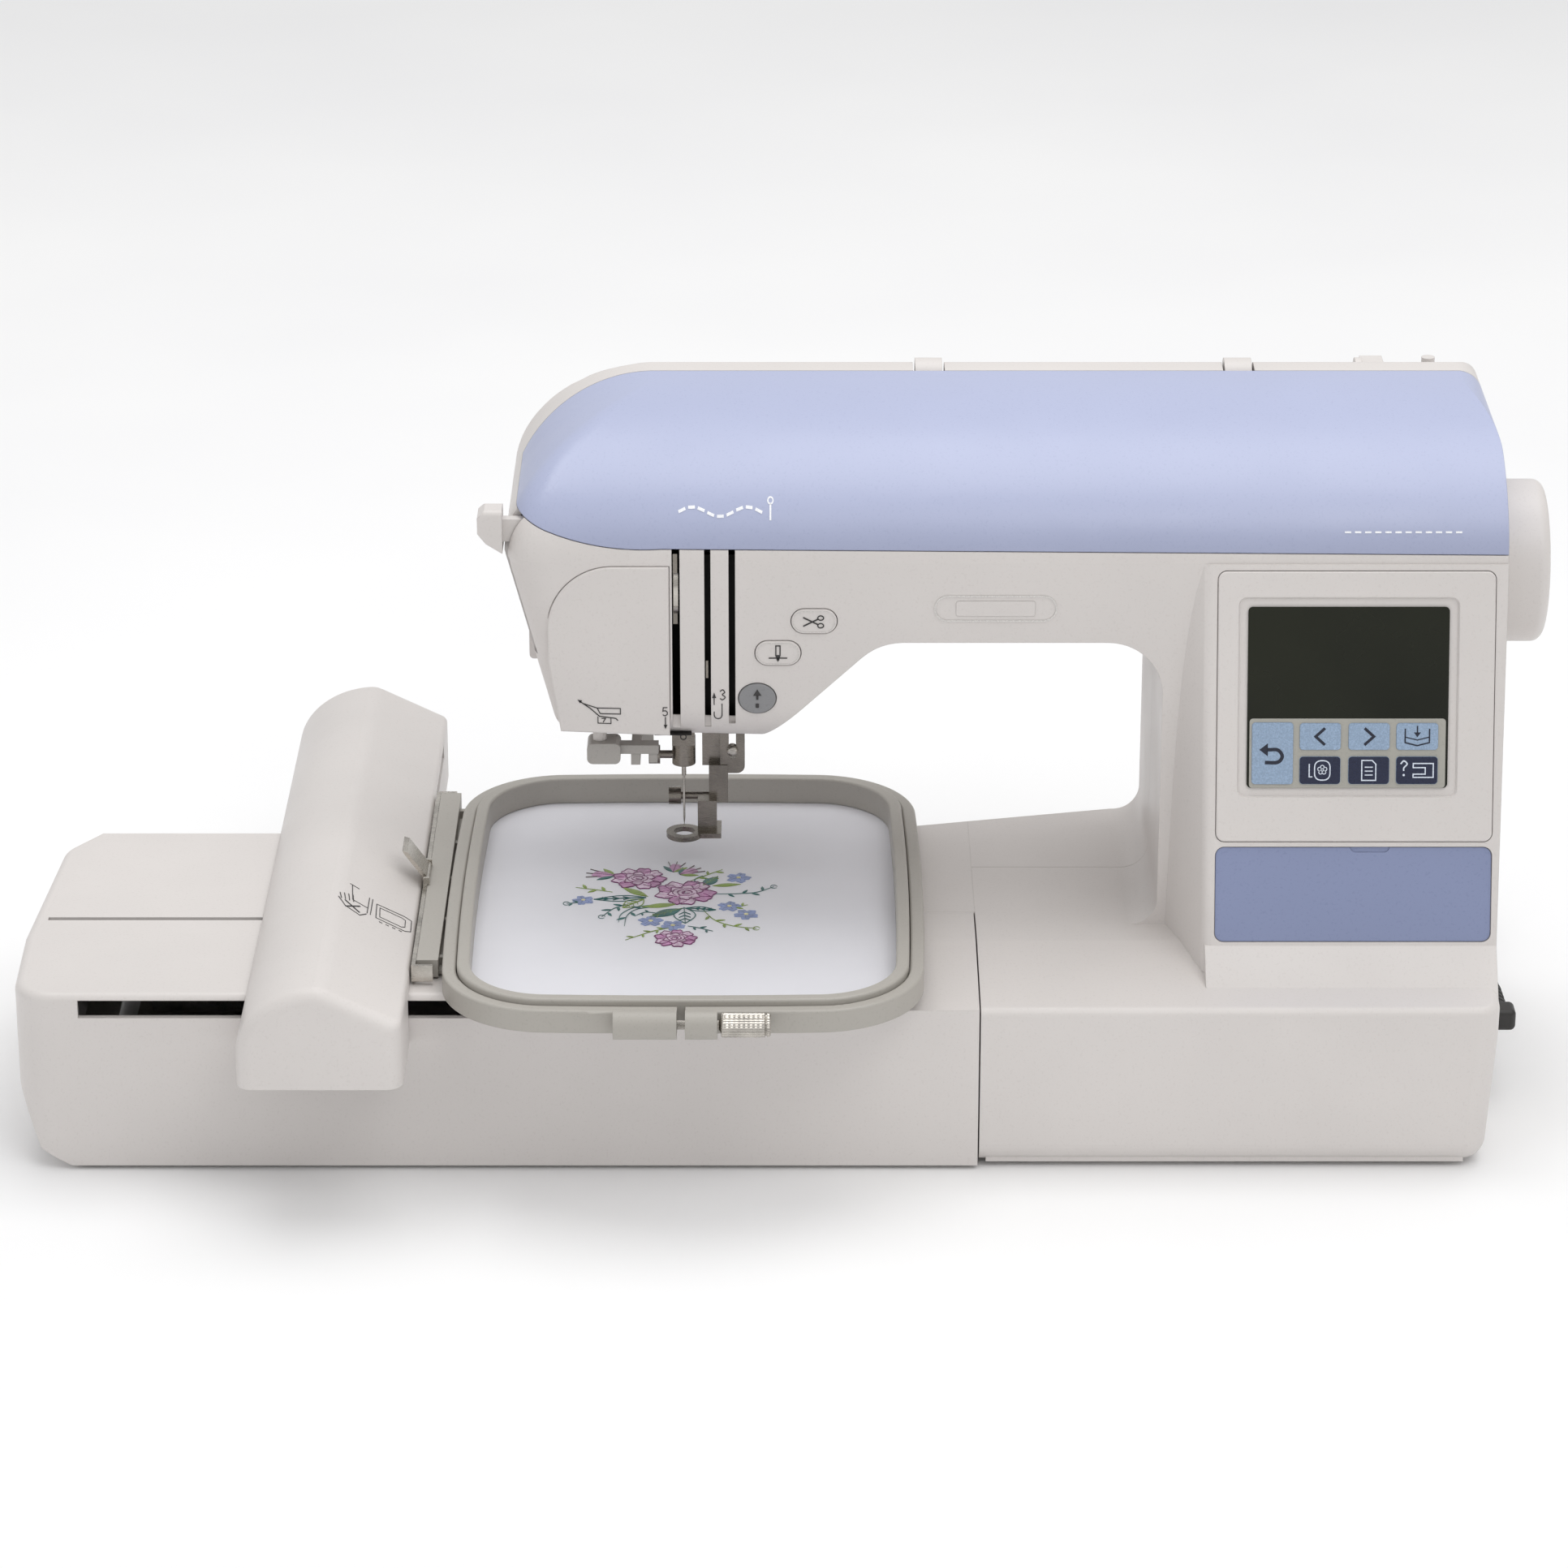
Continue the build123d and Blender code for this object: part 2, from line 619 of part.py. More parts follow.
with BuildPart() as bobbin_case:
    rod_z(hook_r - 2.4, 59.6, 76, needle_x, hook_y)
    rod_z(hook_r - 3.6, 60.8, 77, needle_x, hook_y, mode=Mode.SUBTRACT)
    rod_z(hook_r + 3, 74.4, 76, needle_x, hook_y)
    rod_z(hook_r - 3.6, 70, 77, needle_x, hook_y, mode=Mode.SUBTRACT)
write(bobbin_case.part, "bobbin_case")

with BuildPart() as bobbin:
    rod_z(10.2, 61.5, 73, needle_x, hook_y)
    rod_z(8.5, 62.5, 72, needle_x, hook_y, mode=Mode.SUBTRACT)
    rod_z(5.5, 61.5, 73, needle_x, hook_y)
    rod_z(3, 61, 74, needle_x, hook_y, mode=Mode.SUBTRACT)
write(bobbin.part, "bobbin")

with BuildPart() as motor_pulley:
    rod_x(3, 190, 268, motor_y, motor_z)
    rod_x(motor_pulley_r, *motor_pulley_x, motor_y, motor_z)
write(motor_pulley.part, "motor_pulley")

# ---- needle, presser and threader ----
with BuildPart() as needle_bar:
    rod_z(needle_bar_r, 140, 289, needle_x, needle_y)
    rod_z(6, 222, 230, needle_x, needle_y)
    block(-43.5, -38.3, 1.5, 6.5, 226, 246.5)
    rod_x(3.2, -43.5, -38.3, shaft_y, upper_shaft_z + crank_throw)
write(needle_bar.part, "needle_bar")

with BuildPart() as needle:
    rod_z(1.0, 128, 139.8, needle_x, needle_y)
    rod_z(0.5, 108, 128, needle_x, needle_y)
    with Locations((needle_x, needle_y, 106)):
        Cone(0.05, 0.5, 4)
write(needle.part, "needle")

with BuildPart() as needle_clamp:
    rod_z(5.2, 134, 147, needle_x, needle_y)
    rod_z(needle_bar_r, 140, 148, needle_x, needle_y, mode=Mode.SUBTRACT)
    rod_z(1.0, 133, 141, needle_x, needle_y, mode=Mode.SUBTRACT)
    rod_x(1.8, -56, -49, needle_y, 138)
    rod_x(4.2, -60, -55, needle_y, 138)
    block(-49.5, -39.5, -0.5, 3.2, 145, 156)
write(needle_clamp.part, "needle_clamp")

with BuildPart() as take_up_lever:
    block(-47.3, -45.3, -51.5, -14, 224, 246)
    fillet(take_up_lever.edges().filter_by(Axis.X).group_by(Axis.Y)[0], 8)
    rod_x(2.2, -48, -45, -45, 238, mode=Mode.SUBTRACT)
write(take_up_lever.part, "take_up_lever")

with BuildPart() as presser_bar:
    rod_z(presser_bar_r, 138, 285, presser_x, presser_y)
    rod_z(6.5, 206, 214, presser_x, presser_y)
write(presser_bar.part, "presser_bar")

foot_low = 98.8
with BuildPart() as embroidery_foot:
    block(-36.5, -25.5, 18.5, 33, 128, 152)
    rod_z(presser_bar_r, 138, 153, presser_x, presser_y, mode=Mode.SUBTRACT)
    block(-28.5, -17.5, 14, 19, 126, 151)
    fillet(nearest(embroidery_foot.edges(), (-17.5, 16, 126), (-28.5, 16, 126)), 3.5)
    fillet(nearest(embroidery_foot.edges(), (-17.5, 16, 151)), 3)
    block(-24.6, -21.4, 13, 20, 133, 145, mode=Mode.SUBTRACT)
    rod_y(2.6, 13.2, 16, -23, 137)
    block(-37, -12, 18.5, 22.3, 150.5, 155)
    block(-33.5, -25, 13.5, 20, 112, 130)
    block(-38.5, -30, 8, 15, 100, 115)
    block(-38.5, -28, 3.5, 19, foot_low, 101)
    rod_z(8, foot_low, foot_low + 2.2, needle_x, needle_y)
    rod_z(4.6, foot_low - 1, foot_low + 6, needle_x, needle_y, mode=Mode.SUBTRACT)
    rod_x(1.8, -46.5, -33, 17.2, 114)
    rod_x(4.0, -51.5, -46, 17.2, 114)
write(embroidery_foot.part, "embroidery_foot")

with BuildPart() as presser_lever:
    with BuildSketch(Plane.YZ.offset(presser_x - 3.5)):
        with Locations(lever_pivot):
            Circle(6)
        with Locations((102, 184)):
            Circle(3.5)
        make_hull()
    extrude(amount=7)
    rod_x(2 + running_gap, -40, -22, *lever_pivot, mode=Mode.SUBTRACT)
write(presser_lever.part, "presser_lever")

with BuildPart() as threader_lever:
    with BuildSketch(Plane.XZ.offset(46)):
        with BuildLine():
            Polyline(
                (-120.4, 252), (-127.5, 256.5), (-131, 261), (-131, 268), (-128, 271), (-120.4, 271),
                close=True)
        make_face()
    extrude(amount=-13)
    fillet(threader_lever.edges().filter_by(Axis.X), 2.5)
    block(-121, -77, -41.5, -36.5, 256, 266)
    rod_z(3, 164, 262, *threader_rod)
write(threader_lever.part, "threader_lever")

with BuildPart() as threader_head:
    block(-85.5, -71, -45, -33, 154.5, 164)
    fillet(threader_head.edges().filter_by(Axis.Y), 2.5)
    block(-72, -54.5, -43, -37, 158.5, 162.5)
    block(-66.5, -62.5, -42, -5, 153, 159)
    block(-64, -57.5, -8, -5, 147, 154)
    block(-58.5, -55, -42, -38, 154, 159)
write(threader_head.part, "threader_head")

# ---- push buttons on the head ----
for label, (oval_x, oval_z, oval_wide, oval_high) in button_ovals.items():
    with BuildPart() as button:
        with BuildSketch(Plane.XZ.offset(0.9 - head_front)):
            with Locations((oval_x, oval_z)):
                add(oval(oval_wide, oval_high))
        extrude(amount=-4.9)
        fillet(button.faces().sort_by(Axis.Y)[0].edges(), 0.6)
        with BuildSketch(Plane.XZ.offset(-4 - head_front)):
            with Locations((oval_x, oval_z)):
                add(oval(oval_wide + 1.2, oval_high + 1.2))
        extrude(amount=-2)
    write(button.part, label)

# ---- handle, thread stand, switch ----
with BuildPart() as carry_handle:
    for end_left, end_right in handle_ends:
        rod_x(10.5, end_left, end_right, handle_y, handle_z)
        with BuildSketch(Plane.YZ.offset(end_left)):
            with Locations((72, 288)):
                Circle(6)
            with Locations((84, 272)):
                Circle(3.5)
            make_hull()
        extrude(amount=end_right - end_left)
        block(end_left, end_right, 80.5, 87.5, 240, 272)
    with BuildSketch(Plane.YZ.offset(handle_ends[0][0])):
        with Locations((84.5, 243)):
            RectangleRounded(10, 17, 4)
    extrude(amount=handle_ends[1][1] - handle_ends[0][0])
write(carry_handle.part, "carry_handle")

spool_y, spool_z = 88.0, 287.0
winder_x, winder_y = 288.0, 90.0
with BuildPart() as thread_stand:
    block(258, 268, body_back, 98, 277, 294)
    rod_x(9, 255, 258, spool_y, spool_z)
    rod_x(2.5, 216, 256, spool_y, spool_z)
    block(276, 300, body_back, 102, 260, 275.5)
    fillet(thread_stand.edges().filter_by(Axis.Z).group_by(Axis.Y)[-1], 1.5)
    rod_z(2.5 + running_gap, 265, 276, winder_x, winder_y, mode=Mode.SUBTRACT)
write(thread_stand.part, "thread_stand")

with BuildPart() as bobbin_winder:
    rod_z(2.5, 266, 277, winder_x, winder_y)
    rod_z(9, 276, 278.5, winder_x, winder_y)
    rod_z(3, 278.5, 296, winder_x, winder_y)
write(bobbin_winder.part, "bobbin_winder")

with BuildPart() as power_switch:
    block(295, 304.6, switch_y[0] + 12, switch_y[1] - 1, 23, 37)
    block(303.9, 306, switch_y[0] + 11, switch_y[1], 28.5, 31.5, mode=Mode.SUBTRACT)
    rod_y(1.2, switch_y[0] + 10.6, switch_y[1] + 0.4, *switch_pivot)
write(power_switch.part, "power_switch")

# ---- embroidery unit ----
unit_right = base_left - unit_gap
unit_front_back = arm_front - unit_gap
unit_arm_wall = arm_left - unit_gap * 2


def unit_plan(inset, height):
    """Plan of the unit, an L that wraps the left end and the front of the free arm."""
    with BuildSketch(Plane.XY.offset(height), mode=Mode.PRIVATE) as plan:
        with BuildLine():
            Line((unit_right - inset, base_front + inset), (unit_left + 2 + inset, base_front + inset))
            Line((unit_left + 2 + inset, base_front + inset), (unit_left + inset, -64))
            Line((unit_left + inset, -64), (unit_left + 6 + inset, 31))
            Line((unit_left + 6 + inset, 31), (unit_left + 20 + inset, unit_back - inset))
            Line((unit_left + 20 + inset, unit_back - inset), (unit_arm_wall - inset, unit_back - inset))
            Line((unit_arm_wall - inset, unit_back - inset), (unit_arm_wall - inset, unit_front_back - inset))
            Line(
                (unit_arm_wall - inset, unit_front_back - inset),
                (unit_right - inset, unit_front_back - inset))
            Line((unit_right - inset, unit_front_back - inset), (unit_right - inset, base_front + inset))
        make_face()
        fillet(nearest(plan.vertices(), (unit_left + 2 + inset, base_front + inset)), 18 - inset)
        fillet(nearest(plan.vertices(), (unit_left + 6 + inset, 31)), 18 - inset)
    return plan.sketch


def unit_form(inset):
    """Solid of the unit, with its hull-shaped left end."""
    with BuildPart() as form:
        extrude(unit_plan(inset, floor_gap), amount=bed_z - floor_gap - inset)
        with BuildSketch(Plane.XZ.offset(-unit_back - 5)):
            with BuildLine():
                Polyline(
                    (unit_left - 1 + inset, 120), (unit_left - 1 + inset, 44), (unit_left + 11 + inset, 9),
                    (unit_left + 26 + inset, floor_gap - 1), (120, floor_gap - 1), (120, 120), close=True)
            make_face()
        extrude(amount=200, mode=Mode.INTERSECT)
        if not inset:
            top_edges = form.faces().sort_by(Axis.Z)[-1].edges()
            fillet([e for e in top_edges if e.center().X < unit_arm_wall - 20 or e.center().Y < -120], 4)
    return form.part


top_slot_x = (-323.0, -104.0)
front_slot_x = (-301.0, -105.0)
front_slot_z = (71.5, 79.5)
with BuildPart() as unit_case:
    add(unit_form(0))
    add(unit_form(unit_wall), mode=Mode.SUBTRACT)
    block(-295, 80, base_front + unit_wall, unit_front_back - unit_wall, -2, 6, mode=Mode.SUBTRACT)
    block(-295, unit_arm_wall - unit_wall, -50, unit_back - unit_wall, -2, 6, mode=Mode.SUBTRACT)
    block(*top_slot_x, top_slot_y - 1.5, top_slot_y + 1.5, 76, 84, mode=Mode.SUBTRACT)
    block(*front_slot_x, base_front - 2, base_front + 5, *front_slot_z, mode=Mode.SUBTRACT)
    block(-100, unit_right - 1, base_front + 1, -90, 71.5, 79.5)
    for section_x, front_drop in ((-100, 0.05), (30, bed_z - bed_lip_z)):
        with BuildSketch(Plane.YZ.offset(section_x)):
            with BuildLine():
                Polyline(
                    (bed_slope_y, bed_z + 0.01), (base_front - 1, bed_z - front_drop),
                    (base_front - 1, bed_z + 3), (bed_slope_y, bed_z + 3), close=True)
            make_face()
    loft(ruled=True, mode=Mode.SUBTRACT)
    with BuildSketch(Plane.YZ.offset(30)):
        with BuildLine():
            Polyline(
                (bed_slope_y, bed_z + 0.01), (base_front - 1, bed_lip_z), (base_front - 1, bed_z + 3),
                (bed_slope_y, bed_z + 3), close=True)
        make_face()
    extrude(amount=60, mode=Mode.SUBTRACT)
write(unit_case.part, "unit_case")

with BuildPart() as unit_base:
    block(-294.5, 79.5, base_front + unit_wall + 0.2, unit_front_back - unit_wall - 0.2, 2, 5)
    block(-294.5, unit_arm_wall - unit_wall - 0.2, -50, unit_back - unit_wall - 0.2, 2, 5)
    for foot_x, foot_y in ((-280, -110), (-280, 34), (-132, 34), (64, -110), (64, -58)):
        rod_z(8, 0, 2, foot_x, foot_y)
write(unit_base.part, "unit_base")

with BuildPart() as guide_rail:
    for rail_y in rail_ys:
        rod_x(rail_r, -316, -98, rail_y, rail_z)
    block(-316, -312, -112, -58, 12, 62)
    block(-98, -94, -112, -58, 5, 62)
    rod_x(15, -285, -245, 15, 25)
write(guide_rail.part, "guide_rail")

with BuildPart() as carriage_base:
    block(*slider, -112, -58, 48, 64)
    for rail_y in rail_ys:
        rod_x(rail_r + running_gap, slider[0] - 1, slider[1] + 1, rail_y, rail_z, mode=Mode.SUBTRACT)
    block(*slider, -58, -46, 58, 64)
    block(*slider, top_slot_y - 1, top_slot_y + 1, 63, 85)
    block(*slider, -112, -108, 63, 78)
    block(*slider, -134, -108, 73.2, 78)
    block(*slider, -150, -131.5, 73.2, 87)
    block(-222, slider[1], -150, 165, 84.5, 87)
    rod_y(3, -150, 165, arm_rod_x, arm_rod_z)
    for post_y in (-150, 161):
        block(arm_rod_x - 6, arm_rod_x + 6, post_y, post_y + 4, 86, 98.5)
write(carriage_base.part, "carriage_base")


def carriage_profile(inset):
    """Section of the carriage cover: round on the left, sloping down to the right shoulder."""
    with BuildSketch(Plane.XZ.offset(1.6 * inset - carriage_back), mode=Mode.PRIVATE) as section:
        with BuildLine():
            Polyline(
                (carriage_left + inset, 75), (carriage_left + inset, carriage_bottom - inset * 4),
                (carriage_right - inset, carriage_bottom - inset * 4),
                (carriage_right - inset, shoulder_z - inset * 0.6), (ridge_x, carriage_top - inset * 1.1))
            EllipticalCenterArc(
                (ridge_x, 75), ridge_x - carriage_left - inset, carriage_top - 75 - inset * 1.1,
                90, arc_size=90)
        make_face()
    return section.sketch


with BuildPart() as carriage_cover:
    extrude(carriage_profile(0), amount=carriage_back - carriage_front)
    fillet(nearest(carriage_cover.edges(), (ridge_x, 0, carriage_top)), 12)
    fillet(nearest(carriage_cover.edges(), (carriage_right, 0, shoulder_z)), 3)
    fillet(carriage_cover.faces().sort_by(Axis.Y)[0].edges().filter_by(lambda e: e.center().Z > 61), 7)
    fillet(carriage_cover.faces().sort_by(Axis.Y)[-1].edges().filter_by(lambda e: e.center().Z > 61), 9)
    extrude(carriage_profile(cover_wall), amount=carriage_back - carriage_front - 7, mode=Mode.SUBTRACT)
    block(-235, -155, base_front - 1.7, arm_back + 1.4, 40, arch_z, mode=Mode.SUBTRACT)
    block(-164, -158, -84, 142, 81, 87.3, mode=Mode.SUBTRACT)
write(carriage_cover.part, "carriage_cover")

with BuildPart() as hoop_holder:
    block(-207, -193, -35, 5, 88.3, 99)
    rod_y(3 + running_gap, -36, 6, arm_rod_x, arm_rod_z, mode=Mode.SUBTRACT)
    block(-207, -169.5, -35, 5, 88.3, 90.4)
    block(-172, -169.5, -35, 5, 83.6, 90.4)
    block(-172, -158, -35, 5, 83.6, 86)
    for clip_y in (-117, 75.2):
        block(-159.2, -150, clip_y, clip_y + 1.8, 83.6, 91)
    block(-159.2, -157.4, -117, 77, 83.6, 91)
    for ear_y in (-31, -10.6):
        block(-159.2, -157.4, ear_y, ear_y + 1.6, 90, 92)
        block(-159.2, -156.4, ear_y, ear_y + 1.6, 91.3, 94.6)
        rod_y(1.2 + running_gap, ear_y - 1, ear_y + 3, -157.8, 92.7, mode=Mode.SUBTRACT)
write(hoop_holder.part, "hoop_holder")

with BuildPart() as frame_lever:
    with BuildSketch(Plane.XZ.offset(12)):
        with BuildLine():
            Polyline(
                (-158.6, 92.3), (-157.2, 93.4), (-165.9, 105.6), (-168.2, 106.4), (-167.4, 104.6), close=True)
        make_face()
    extrude(amount=16)
    rod_y(1.2, -31, -9, -157.8, 92.7)
write(frame_lever.part, "frame_lever")


def hoop_outline(inset):
    """Rounded rectangle of the hoop, its four sides bowed a little outwards."""
    half_x, half_y, bow = hoop_size[0] / 2, hoop_size[1] / 2, 3.0
    with BuildSketch(mode=Mode.PRIVATE) as outline:
        with BuildLine():
            ThreePointArc((half_x - bow, -half_y + bow), (half_x, 0), (half_x - bow, half_y - bow))
            ThreePointArc((half_x - bow, half_y - bow), (0, half_y), (-half_x + bow, half_y - bow))
            ThreePointArc((-half_x + bow, half_y - bow), (-half_x, 0), (-half_x + bow, -half_y + bow))
            ThreePointArc((-half_x + bow, -half_y + bow), (0, -half_y), (half_x - bow, -half_y + bow))
        make_face()
        fillet(outline.vertices(), 46)
        if inset:
            offset(amount=-inset)
    return outline.sketch


with BuildPart() as outer_hoop:
    with BuildSketch(Plane.XY.offset(hoop_low)):
        with Locations(hoop_mid):
            add(hoop_outline(0))
            add(hoop_outline(6.0), mode=Mode.SUBTRACT)
    extrude(amount=10)
    fillet(outer_hoop.edges().group_by(Axis.Z)[-1], 1.2)
    block(-157.3, -148, -111, 75, hoop_low, 91)
    block(-150, -145, -108, 71, hoop_low, 84.6)
    for rib_y in (-100, -60, -15, 25, 62):
        block(-150, -144, rib_y - 1.5, rib_y + 1.5, hoop_low, 88)
    for lug_left, lug_right in lug_spans:
        rod_x(lug_r, lug_left, lug_right, hoop_screw_y, hoop_screw_z)
        block(lug_left, lug_right, -174, -165, 84.5, 92)
    rod_x(2 + running_gap, -73, -26, hoop_screw_y, hoop_screw_z, mode=Mode.SUBTRACT)
    block(lug_spans[0][1], lug_spans[1][0], -182, -158, 80, 98, mode=Mode.SUBTRACT)
write(outer_hoop.part, "outer_hoop")

with BuildPart() as inner_hoop:
    with BuildSketch(Plane.XY.offset(fabric_top)):
        with Locations(hoop_mid):
            add(hoop_outline(6.35))
            add(hoop_outline(12.0), mode=Mode.SUBTRACT)
    extrude(amount=12)
    fillet(inner_hoop.edges().group_by(Axis.Z)[-1], 1.2)
write(inner_hoop.part, "inner_hoop")

with BuildPart() as fabric:
    with BuildSketch(Plane.XY.offset(hoop_low)):
        with Locations(hoop_mid):
            add(hoop_outline(6.35))
    extrude(amount=fabric_top - hoop_low)
write(fabric.part, "fabric")

with BuildPart() as hoop_screw:
    rod_x(2, -71, -10, hoop_screw_y, hoop_screw_z)
    rod_x(5.3, -26.2, -5.4, hoop_screw_y, hoop_screw_z)
    fillet(hoop_screw.edges().group_by(Axis.X)[-1], 0.8)
write(hoop_screw.part, "hoop_screw")

# ---- mains lead: plug, lead, coil and wall plug ----
with BuildPart() as appliance_plug:
    block(304.6, 323, -54, -42, 30.5, 40.5)
    fillet(appliance_plug.edges(), 2.5)
    block(291.4, 305.5, -53.6, -42.4, 30.9, 40.1)
    with Locations((plug_x, (lead_start_y - 43) / 2, plug_z)):
        Cone(4.9, 4.2, lead_start_y + 43, rotation=(-90, 0, 0))
write(appliance_plug.part, "appliance_plug")

lead_points = [
    (plug_x, lead_start_y, plug_z), (316, 12, 33.2), (317.2, 44, 18), (318.6, 72, 5.6), (323, 97.5, 4.0),
    (324.8, 116, 3.8)]


def corner_radii(points):
    """Bend radius at each inner point: 0.45 of the shorter run over the tangent of half the turn."""
    radii = []
    for before, corner, after in zip(points, points[1:], points[2:]):
        run_in = Vector(*corner) - Vector(*before)
        run_out = Vector(*after) - Vector(*corner)
        half_turn = math.radians(run_in.get_angle(run_out) / 2)
        radii.append(0.45 * min(run_in.length, run_out.length) / math.tan(half_turn))
    return radii


lead_radii = corner_radii(lead_points)
print("bend radii of the lead:", [round(radius, 1) for radius in lead_radii])
with BuildPart() as power_cord:
    with BuildLine() as lead_path:
        FilletPolyline(*lead_points, radius=lead_radii)
    with BuildSketch(Plane(origin=lead_path.line @ 0, z_dir=lead_path.line % 0)):
        Circle(cord_r)
    sweep(path=lead_path.line)
write(power_cord.part, "power_cord")
lead_length = sum(edge.length for edge in lead_path.edges())
swept_volume = math.pi * cord_r**2 * lead_length
print("lead volume", round(power_cord.part.volume), "section x length", round(swept_volume))

coil_turns = 7.25
coil_length = coil_turns * 2 * math.pi * coil_mid_r
print("lead", round(lead_length), "coil", round(coil_length), "of", cord_length)
with BuildPart() as cord_coil:
    rod_z(coil_outer_r + cord_r, 0, 14.3, *coil_mid)
    rod_z(2 * coil_mid_r - coil_outer_r - cord_r, -1, 16, *coil_mid, mode=Mode.SUBTRACT)
    fillet(cord_coil.edges().filter_by(GeomType.CIRCLE), 3)
write(cord_coil.part, "cord_coil")

tail_y, tail_z = coil_mid[1] + coil_outer_r, 9.6
with BuildPart() as mains_plug:
    block(180, 222, tail_y - 11.5, tail_y + 11.5, 0.5, 18.5)
    fillet(mains_plug.edges().filter_by(Axis.X), 6)
    fillet(mains_plug.edges().group_by(Axis.X)[-1], 4)
    with Locations((234, tail_y, tail_z)):
        Cone(6.4, 4.2, 26, rotation=(0, 90, 0))
    for pin_y in (tail_y - 6.35, tail_y + 6.35):
        block(163, 181, pin_y - 0.8, pin_y + 0.8, tail_z - 3.1, tail_z + 3.1)
write(mains_plug.part, "mains_plug")
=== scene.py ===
"""Looks of a household sewing and embroidery machine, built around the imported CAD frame."""
import math
import random

import bpy
import bmesh
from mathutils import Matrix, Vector
from mathutils.bvhtree import BVHTree


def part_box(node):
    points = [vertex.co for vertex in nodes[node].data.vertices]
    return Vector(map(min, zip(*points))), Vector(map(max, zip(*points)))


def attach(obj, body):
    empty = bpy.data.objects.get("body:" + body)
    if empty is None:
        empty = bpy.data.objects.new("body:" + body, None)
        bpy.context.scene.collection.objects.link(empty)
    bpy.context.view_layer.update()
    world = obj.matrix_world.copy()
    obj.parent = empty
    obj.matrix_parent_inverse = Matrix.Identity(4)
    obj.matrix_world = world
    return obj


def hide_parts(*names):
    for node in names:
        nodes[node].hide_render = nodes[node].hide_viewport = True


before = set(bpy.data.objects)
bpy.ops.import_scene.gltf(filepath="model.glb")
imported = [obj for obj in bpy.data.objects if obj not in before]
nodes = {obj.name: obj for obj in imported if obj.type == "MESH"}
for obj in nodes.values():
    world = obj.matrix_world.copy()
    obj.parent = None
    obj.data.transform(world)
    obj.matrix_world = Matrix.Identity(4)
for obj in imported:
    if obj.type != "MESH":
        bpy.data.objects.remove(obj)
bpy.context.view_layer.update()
MM = 0.001


# ---------------------------------------------------------------- camera
camera_data = bpy.data.cameras.new("camera")
camera_data.lens = 126.7
camera_data.sensor_width = 36.0
camera = bpy.data.objects.new("camera", camera_data)
camera.location = (0.0, -2.263, 1.0639)
camera.rotation_euler = (math.radians(67.5), 0.0, 0.0)
bpy.context.scene.collection.objects.link(camera)
bpy.context.scene.camera = camera


# ---------------------------------------------------------------- mains lead
def curve_piece(name, points, radius, resolution=12):
    """A round cord: one open NURBS spline through its control points, in millimetres."""
    data = bpy.data.curves.new(name, "CURVE")
    data.dimensions = "3D"
    data.bevel_depth = radius * MM
    data.bevel_resolution = 5
    data.use_fill_caps = True
    spline = data.splines.new("NURBS")
    spline.points.add(len(points) - 1)
    for point, place in zip(spline.points, points):
        point.co = (place[0] * MM, place[1] * MM, place[2] * MM, 1.0)
    spline.order_u = 3
    spline.use_endpoint_u = True
    spline.resolution_u = resolution
    piece = bpy.data.objects.new(name, data)
    bpy.context.scene.collection.objects.link(piece)
    return piece


LEAD_ROUTE = [
    (315.5, -14, 35.5), (316, 12, 33.2), (317.2, 44, 18), (318.6, 72, 5.6), (323, 97.5, 4.0),
    (324.8, 116, 3.8)]
COIL_MID = (276.0, 131.5)
COIL_OUTER, COIL_INNER = 49.0, 25.2
LAYER_LOW, LAYER_HIGH = 3.7, 10.8
SPIRAL_DEG, CLIMB_DEG = 1215, 180


def coil_point(turned):
    """Centre of the coiled lead after so many degrees: in along the floor, up, and out again."""
    shrink = COIL_OUTER - COIL_INNER
    if turned < SPIRAL_DEG:
        radius, height = COIL_OUTER - shrink * turned / SPIRAL_DEG, LAYER_LOW
    elif turned < SPIRAL_DEG + CLIMB_DEG:
        done = (turned - SPIRAL_DEG) / CLIMB_DEG
        radius = COIL_INNER - 2.2 * math.sin(math.pi * done)
        height = LAYER_LOW + (LAYER_HIGH - LAYER_LOW) * (3 * done**2 - 2 * done**3)
    else:
        radius = COIL_INNER + shrink * (turned - SPIRAL_DEG - CLIMB_DEG) / SPIRAL_DEG
        height = LAYER_HIGH
    angle = math.radians(turned)
    return (COIL_MID[0] + radius * math.cos(angle), COIL_MID[1] + radius * math.sin(angle), height)


coil_route = [coil_point(turned) for turned in range(9, 2 * SPIRAL_DEG + CLIMB_DEG + 1, 18)]
tail_y = COIL_MID[1] + COIL_OUTER
tail_route = [(264, tail_y, 10.3), (247, tail_y, 9.6)]
lead = curve_piece("mains_lead", LEAD_ROUTE + coil_route + tail_route, 3.5)


# ---------------------------------------------------------------- material helpers
def srgb(red, green, blue):
    """An sRGB colour, 0 to 255, as a linear RGBA colour."""
    linear = []
    for value in (red, green, blue):
        value /= 255
        linear.append(value / 12.92 if value <= 0.04045 else ((value + 0.055) / 1.055) ** 2.4)
    return (*linear, 1.0)


def scaled(colour, factor):
    return tuple(min(1.0, channel * factor) for channel in colour[:3]) + (1.0,)


